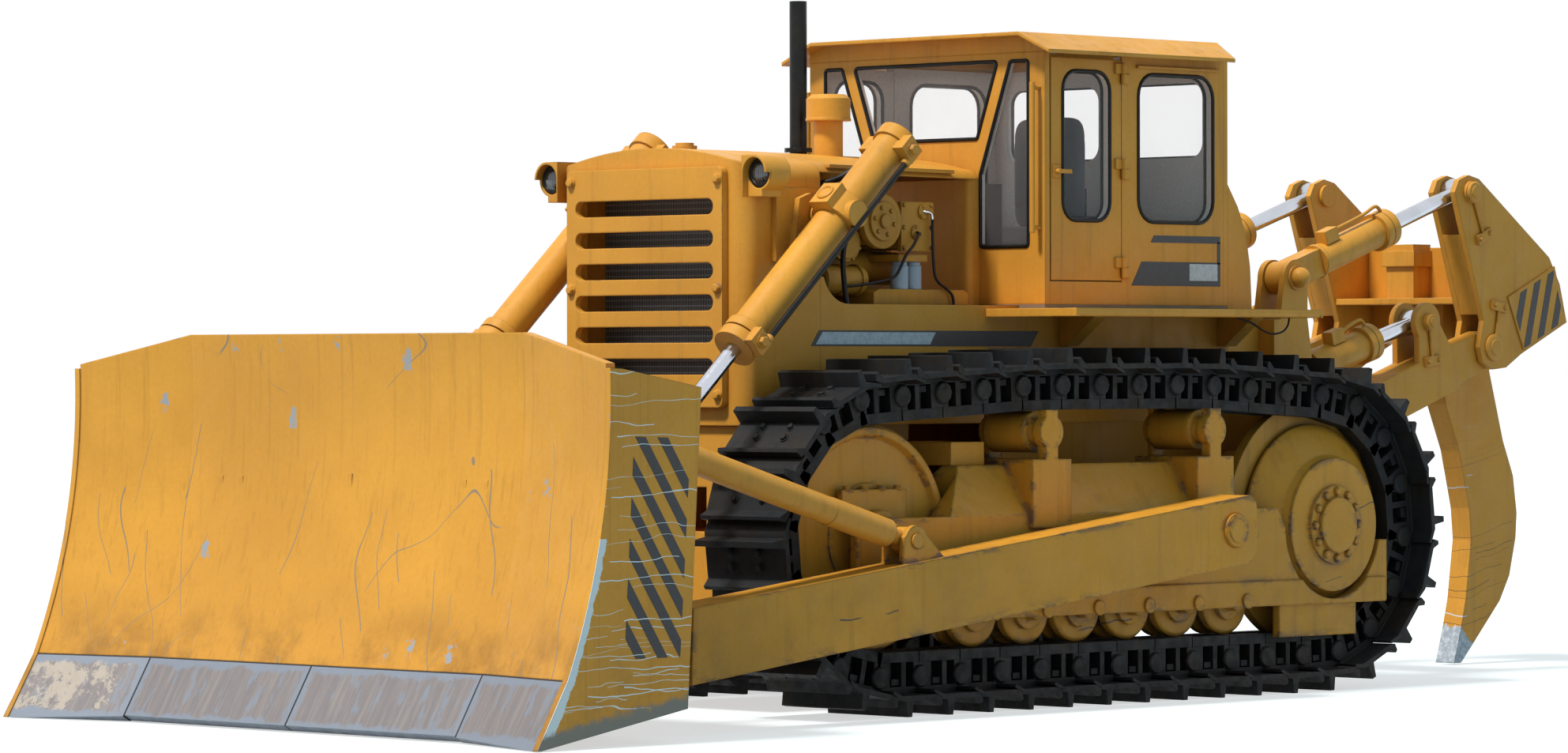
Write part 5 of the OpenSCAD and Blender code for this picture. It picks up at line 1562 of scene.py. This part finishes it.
@dataclass
class Body:
    """Side panels, decks and engine bay.

    Args:
        panel_y: Outer face of a side panel.
        stripe_z: Limits of the dark band along Z.
        house_y: Outer face of the engine's housing.
        ports: Flanges on the engine's housing, upper and lower, along X and Z.
        pipe: Radius of the engine's thin hoses and of its elbow.
    """

    panel_y: float = 0.737
    stripe_z: Pair = (2.027, 2.115)
    house_y: float = 0.575
    ports: tuple[Pair, Pair] = ((0.872, 2.789), (0.930, 2.672))
    pipe: float = 0.0085

    def markings(self, finish: Finishes) -> None:
        """Adds the band on the side panels: a thin slanted plate with a pale bar in its front part."""
        z0, z1 = self.stripe_z
        inner0, inner1 = z0 + 0.010, z1 - 0.010
        band = [[1.942, z0], [0.140, z0], [0.076, z1], [1.878, z1]]
        bar = [[1.905, inner0], [0.986, inner0], [0.940, inner1], [1.852, inner1]]
        dark = Shell().plates(band, self.panel_y, MARK)
        dark.build("panel_band", "tractor", "black_paint", finish["dark"])
        pale = Shell().plates(bar, self.panel_y, BAR)
        pale.build("panel_band_bar", "tractor", "filter_white", finish["pale"])

    def engine(self, finish: Finishes) -> None:
        """Adds the engine's bolts and flanges, and its chromed elbow."""
        cover = bolt_ring(spot(1.215, 0.606, 2.731), 0.078, 6, 12)
        house = np.array([spot(x, self.house_y, z) for x in (0.80, 1.027) for z in (2.585, 2.700, 2.828)])
        ring = bolt_ring(spot(1.440, 0.528, 2.614), 0.104, 8, 20)
        heads = bolts(np.concatenate([cover, house, ring]), (0, 1, 0), 0.022)
        flange = [[0, -0.003], [0.041, -0.003], [0.041, 0.009], [0.037, 0.013], [0, 0.013]]
        for x, z in self.ports:
            heads.lathe(flange, spot(x, self.house_y, z), (0, 1, 0), 28)
            heads.join(bolts(bolt_ring(spot(x, 0.588, z), 0.030, 3, 75), (0, 1, 0), 0.014))
        heads.build("engine_bolts", "tractor", "engine_paint", finish["engine"])
        x, z = self.ports[0]
        elbow = smooth_path([spot(x, 0.586, z), spot(x - 0.008, 0.598, z), spot(x - 0.028, 0.602, z - 0.003),
                             spot(x - 0.046, 0.602, z - 0.016), spot(x - 0.053, 0.602, z - 0.040)], 20)
        tube = Shell().tube(elbow, oval(self.pipe, self.pipe))
        tube.build("engine_elbow", "tractor", "rod_chrome", finish["chrome"], 60)

    def hoses(self, finish: Finishes) -> None:
        """Adds the hoses of the engine bay and of the deck."""
        x, z = self.ports[1]
        Hose("engine_hose_rear", [
            (0.818, 0.602, 2.752), (0.819, 0.603, 2.639), (0.820, 0.610, 2.524), (0.816, 0.617, 2.433),
            (0.785, 0.620, 2.388), (0.723, 0.620, 2.354), (0.679, 0.620, 2.322), (0.664, 0.619, 2.285),
            (0.663, 0.617, 2.245)], self.pipe).build(finish)
        Hose("engine_hose_front", [
            (x, 0.588, z), (x + 0.006, 0.606, z - 0.006), (x + 0.040, 0.622, z - 0.036),
            (1.000, 0.624, 2.597),
            (1.058, 0.624, 2.542), (1.099, 0.622, 2.478), (1.135, 0.620, 2.428), (1.190, 0.618, 2.404),
            (1.264, 0.617, 2.392), (1.362, 0.608, 2.376), (1.443, 0.594, 2.366), (1.500, 0.580, 2.362)],
             self.pipe).build(finish)
        Hose("bay_hose", [
            (1.452, 0.548, 2.640), (1.500, 0.612, 2.660), (1.565, 0.652, 2.635), (1.606, 0.664, 2.560),
            (1.612, 0.666, 2.460), (1.600, 0.668, 2.345), (1.586, 0.676, 2.230), (1.578, 0.690, 2.130)],
             0.0155).build(finish)
        Hose("deck_hose", [
            (-1.095, 1.200, 2.218), (-1.145, 1.200, 2.193), (-1.262, 1.200, 2.166), (-1.379, 1.200, 2.118),
            (-1.458, 1.200, 2.101), (-1.545, 1.200, 2.113), (-1.597, 1.200, 2.152), (-1.612, 1.200, 2.218)],
             0.006).build(finish)

    def build(self, finish: Finishes) -> None:
        """Makes all the body's pieces."""
        self.markings(finish)
        self.engine(finish)
        self.hoses(finish)


@dataclass
class Undercarriage:
    """Bolts of the final drives and idler blocks.

    Args:
        drive_face: Outer face of the final-drive flange from the track's middle.
        block_y: Bolts of an idler block from the track's middle.
        block_z: Top of an idler block.
    """

    drive_face: float = 0.265
    block_y: float = 0.107
    block_z: float = 1.242

    def build(self, finish: Finishes) -> None:
        """Adds the bolts."""
        shell = Shell()
        for s in SIDES:
            hub = bolt_ring(spot(SPROCKET_X, s * (TRACK_Y + self.drive_face), AXLE_Z), 0.198, 12)
            shell.join(bolts(hub, (0, s, 0), 0.044))
            y = s * (TRACK_Y + self.block_y)
            tops = np.array([spot(IDLER_X + dx, y, self.block_z) for dx in (-0.20, -0.07, 0.07, 0.20)])
            shell.join(bolts(tops, (0, 0, 1), 0.046))
        shell.build("undercarriage_bolts", "tractor", "yellow_paint", finish["low"])


@dataclass
class Blade:
    """Markings of the blade's end plates.

    Args:
        end_y: Outer face of an end plate.
        stripes: The striped field, from the upper front.
    """

    end_y: float = 2.150
    stripes: Stripes = Stripes(((4.646, 1.562), (4.250, 1.550), (4.327, 0.440), (4.716, 0.442)),
                               (0.360, 0.526), 2.762, 0.1265, 0.0585, 7)

    def build(self, finish: Finishes) -> None:
        """Adds the slanted stripes: thin plates cut from the field along parallel lines."""
        dark = Shell()
        for outline in self.stripes.outlines():
            dark.plates(outline, self.end_y, MARK)
        dark.build("blade_stripes", "blade", "black_paint", finish["scratched"])


@dataclass(frozen=True)
class Line:
    """Line of a cylinder in the side view, with places along it and square to it.

    Args:
        base: Point where it starts, along X and Z.
        end: Point that it runs to.
    """

    base: Pair
    end: Pair

    def at(self, along: float, off: float, y: float) -> Array:
        """Point by the maker's datum, some way along the line and off it to its right in the side view."""
        d = unit(np.subtract(self.end, self.base))
        x, z = np.asarray(self.base) + along * d + off * np.array([d[1], -d[0]])
        return np.array([x, y, z])


@dataclass
class LiftCylinders:
    """Hoses and fittings of the blade lift cylinders.

    Args:
        line: From the trunnion to the rod's eye.
        y: Distance from the machine's middle.
        hose: Radius of the hoses.
        hose_below: Distance of the outer hose under the barrel's line.
        block: Place of the upper port block along the barrel.
    """

    line: Line = Line((1.965, 2.750), (3.880, 1.013))
    y: float = 0.980
    hose: float = 0.0175
    hose_below: float = 0.044
    block: float = -0.482

    def hoses(self, finish: Finishes, side: Side) -> None:
        """Makes a cylinder's hoses: one along the barrel, and one from it to a place under the hood."""
        s = side.value
        at = self.line.at
        outer, inner = s * (self.y + 0.143), s * (self.y - 0.125)
        run = [at(a, self.hose_below, outer) for a in np.linspace(self.block, 0.975, 8)]
        Hose("lift_hose_" + side.tag, run, self.hose, "lift_barrels", "taut").build(finish)
        route = [(2.022, s * 0.605, 2.905), (1.950, s * 0.615, 2.910), (1.875, s * 0.648, 2.918),
                 (1.818, s * 0.700, 2.930), (1.787, s * 0.750, 2.944), (1.757, s * 0.800, 2.966),
                 (1.714, s * 0.838, 3.001), at(-0.42, 0.0, inner), at(self.block, 0.0, inner)]
        start, end = spot(1.800, s * 0.720, 2.940), at(-0.46, 0.0, inner) + SHIFT
        bend = Bend("lift_barrels", tuple(start), tuple(end))
        Hose("hood_hose_" + side.tag, route, self.hose, bend=bend).build(finish)

    def build(self, finish: Finishes) -> None:
        """Makes each cylinder's hoses, plugs, collars and trunnion cap."""
        plugs = Shell()
        at = self.line.at
        run = at(1.0, 0.0, 0.0) - at(0.0, 0.0, 0.0)
        over = at(0.0, -1.0, 0.0) - at(0.0, 0.0, 0.0)
        collar = [[0, -0.012], [0.027, -0.012], [0.027, 0.018], [0.021, 0.024], [0, 0.024]]
        cap = [[0, -0.004], [0.052, -0.004], [0.052, 0.006], [0.040, 0.012], [0.036, 0.004], [0, 0.003]]
        for side in Side:
            s = side.value
            self.hoses(finish, side)
            for along in (-0.545, 1.040):
                foot = at(along, 0.005, s * (self.y + 0.167)) + SHIFT
                plugs.join(bolts(foot[None], (0, s, 0), 0.062))
            outer, inner = s * (self.y + 0.143), s * (self.y - 0.125)
            plugs.lathe(collar, at(self.block - 0.002, self.hose_below, outer) + SHIFT, run, 20)
            plugs.lathe(collar, at(self.block - 0.002, 0.0, inner) + SHIFT, run, 20)
            plugs.lathe(collar, at(0.980, self.hose_below, outer) + SHIFT, -run, 20)
            plugs.lathe(cap, at(0.0, -0.160, s * self.y) + SHIFT, over, 28)
        plugs.build("lift_plugs", "lift_barrels", "yellow_paint", finish["paint"])


@dataclass
class Ripper:
    """Pins, keepers, pipes and markings of the ripper.

    Args:
        y: Distance of the cylinders from the middle.
        plate_y: Outer face of the carriage's outer plates.
        tilt: Line of a tilt cylinder, from its base pin to its rod's eye.
        lift: Line of a lift cylinder, likewise.
        link_rear: Rear pin of the link.
        barrel: Radius of a barrel.
        plate: Corners of the marking plate.
        stripes: The striped field on it.
    """

    y: float = 0.583
    plate_y: float = 0.689
    tilt: Line = Line((-2.284, 2.445), (-3.974, 2.995))
    lift: Line = Line((-2.330, 1.850), (-3.550, 2.180))
    link_rear: Pair = (-4.203, 2.026)
    barrel: float = 0.095
    plate: tuple[Pair, ...] = ((-4.340, 2.342), (-4.816, 2.542), (-4.930, 2.205), (-4.500, 2.010))
    stripes: Stripes = Stripes(((-4.372, 2.331), (-4.804, 2.513), (-4.912, 2.196), (-4.508, 2.022)),
                               (0.1125, -0.4215), 3.7037, 0.1211, 0.057, 4)

    def keeper(self, pin: Pair, face: float, angle: float, length: float, s: int) -> Shell:
        """A lock bar from a pin's end to a small clamp plate with two bolts.

        Args:
            pin: Pin, along X and Z.
            face: Outer face that carries it.
            angle: Direction of the bar in the side view, in degrees.
            length: Length of the bar.
            s: Side sign.

        Returns:
            The keeper.
        """
        a = math.radians(angle)
        d = np.array([math.cos(a), 0, math.sin(a)])
        n = np.array([-math.sin(a), 0, math.cos(a)])
        foot = spot(pin[0], s * (face + 0.010), pin[1])
        end = foot + d * length
        shape = Shell().tube(np.array([foot, foot + d * length * 0.5, end]), oval(0.010, 0.010, 8))
        clamp = np.array([end + d * u + n * v for u, v in rectangle((-0.03, 0.03), (-0.075, 0.075))])
        clamp[:, 1] = s * face
        out = np.array([0, s * 0.022, 0])
        shape.grid(np.stack([clamp - out * 0.1, clamp + out]), close_v=True, caps=True)
        seats = np.stack([end + n * 0.05, end - n * 0.05])
        seats[:, 1] = s * (face + 0.022)
        return shape.join(bolts(seats, (0, s, 0), 0.030))

    def pin_end(self, pin: Pair, face: float, radius: float, s: int) -> Shell:
        """The round end of a pin: a stepped, turned cap."""
        rim = [[0, -0.004], [radius, -0.004], [radius, 0.012], [radius * 0.86, 0.020], [radius * 0.62, 0.020],
               [radius * 0.56, 0.028], [0, 0.028]]
        return Shell().lathe(rim, spot(pin[0], s * face, pin[1]), (0, s, 0), 32)

    def pipe(self, line: Line, head: float, s: int) -> Shell:
        """A steel pipe along a barrel's top, from a junction block to the head.

        Args:
            line: Line of the cylinder, which runs backwards, so that its right is up.
            head: Distance of the barrel's head from its base.
            s: Side sign.

        Returns:
            The pipe and its block.
        """
        r = self.barrel
        y = s * (self.y + 0.02)
        stops = ((0.50, 0.04), (0.58, 0.045), (head - 0.22, 0.05), (head - 0.09, 0.065), (head - 0.05, 0.03),
                 (head - 0.045, 0.0))
        path = smooth_path([line.at(along, r + over, y) + SHIFT for along, over in stops], 24)
        corners = rectangle((0.40, 0.52), (r - 0.012, r + 0.07))
        rows = np.array([[line.at(a, over, y + dy) + SHIFT for a, over in corners] for dy in (-0.04, 0.04)])
        return Shell().tube(path, oval(0.011, 0.011, 10)).grid(rows, close_v=True, caps=True)

    def markings(self, finish: Finishes) -> None:
        """Adds the striped plates on the carriage's outer faces: a thin plate with slanted bands on it."""
        thick = 0.010
        plate = Shell().plates(self.plate, self.plate_y, thick)
        plate.build("ripper_marking_plate", "ripper_carriage", "yellow_paint", finish["paint"])
        dark = Shell()
        for outline in self.stripes.outlines():
            dark.plates(outline, self.plate_y + thick, MARK)
        dark.build("ripper_marking", "ripper_carriage", "black_paint", finish["dark"])

    def build(self, finish: Finishes) -> None:
        """Makes all the ripper's small pieces."""
        carriage, link, tilt, lift = Shell(), Shell(), Shell(), Shell()
        for s in SIDES:
            carriage.join(self.pin_end(self.tilt.end, self.plate_y + 0.024, 0.066, s))
            carriage.join(self.pin_end(self.link_rear, self.plate_y, 0.085, s))
            carriage.join(self.keeper(self.tilt.end, self.plate_y, 246, 0.30, s))
            carriage.join(self.keeper(self.link_rear, self.plate_y, 100, 0.26, s))
            link.join(self.pin_end(self.lift.end, self.y + 0.130, 0.052, s))
            link.join(self.keeper(self.lift.end, self.y + 0.106, 262, 0.24, s))
            tilt.join(self.pipe(self.tilt, 1.040, s))
            lift.join(self.pipe(self.lift, 0.810, s))
        carriage.build("carriage_keepers", "ripper_carriage", "yellow_paint", finish["paint"])
        link.build("link_keepers", "ripper_link", "yellow_paint", finish["paint"])
        tilt.build("tilt_pipes", "tilt_barrels", "yellow_paint", finish["paint"])
        lift.build("ripper_lift_pipes", "ripper_lift_barrels", "yellow_paint", finish["paint"])
        self.markings(finish)


def main() -> None:
    """Builds the scene and notes its size."""
    logging.basicConfig(level=logging.INFO)
    ViewPoint().build()
    Studio().build()
    finish = Finishes()
    finish.dress()
    Tracks().build(finish)
    for part in (Cab(), Front(), Body(), Undercarriage(), Blade(), LiftCylinders(), Ripper()):
        part.build(finish)


if __name__ == "__main__":
    main()
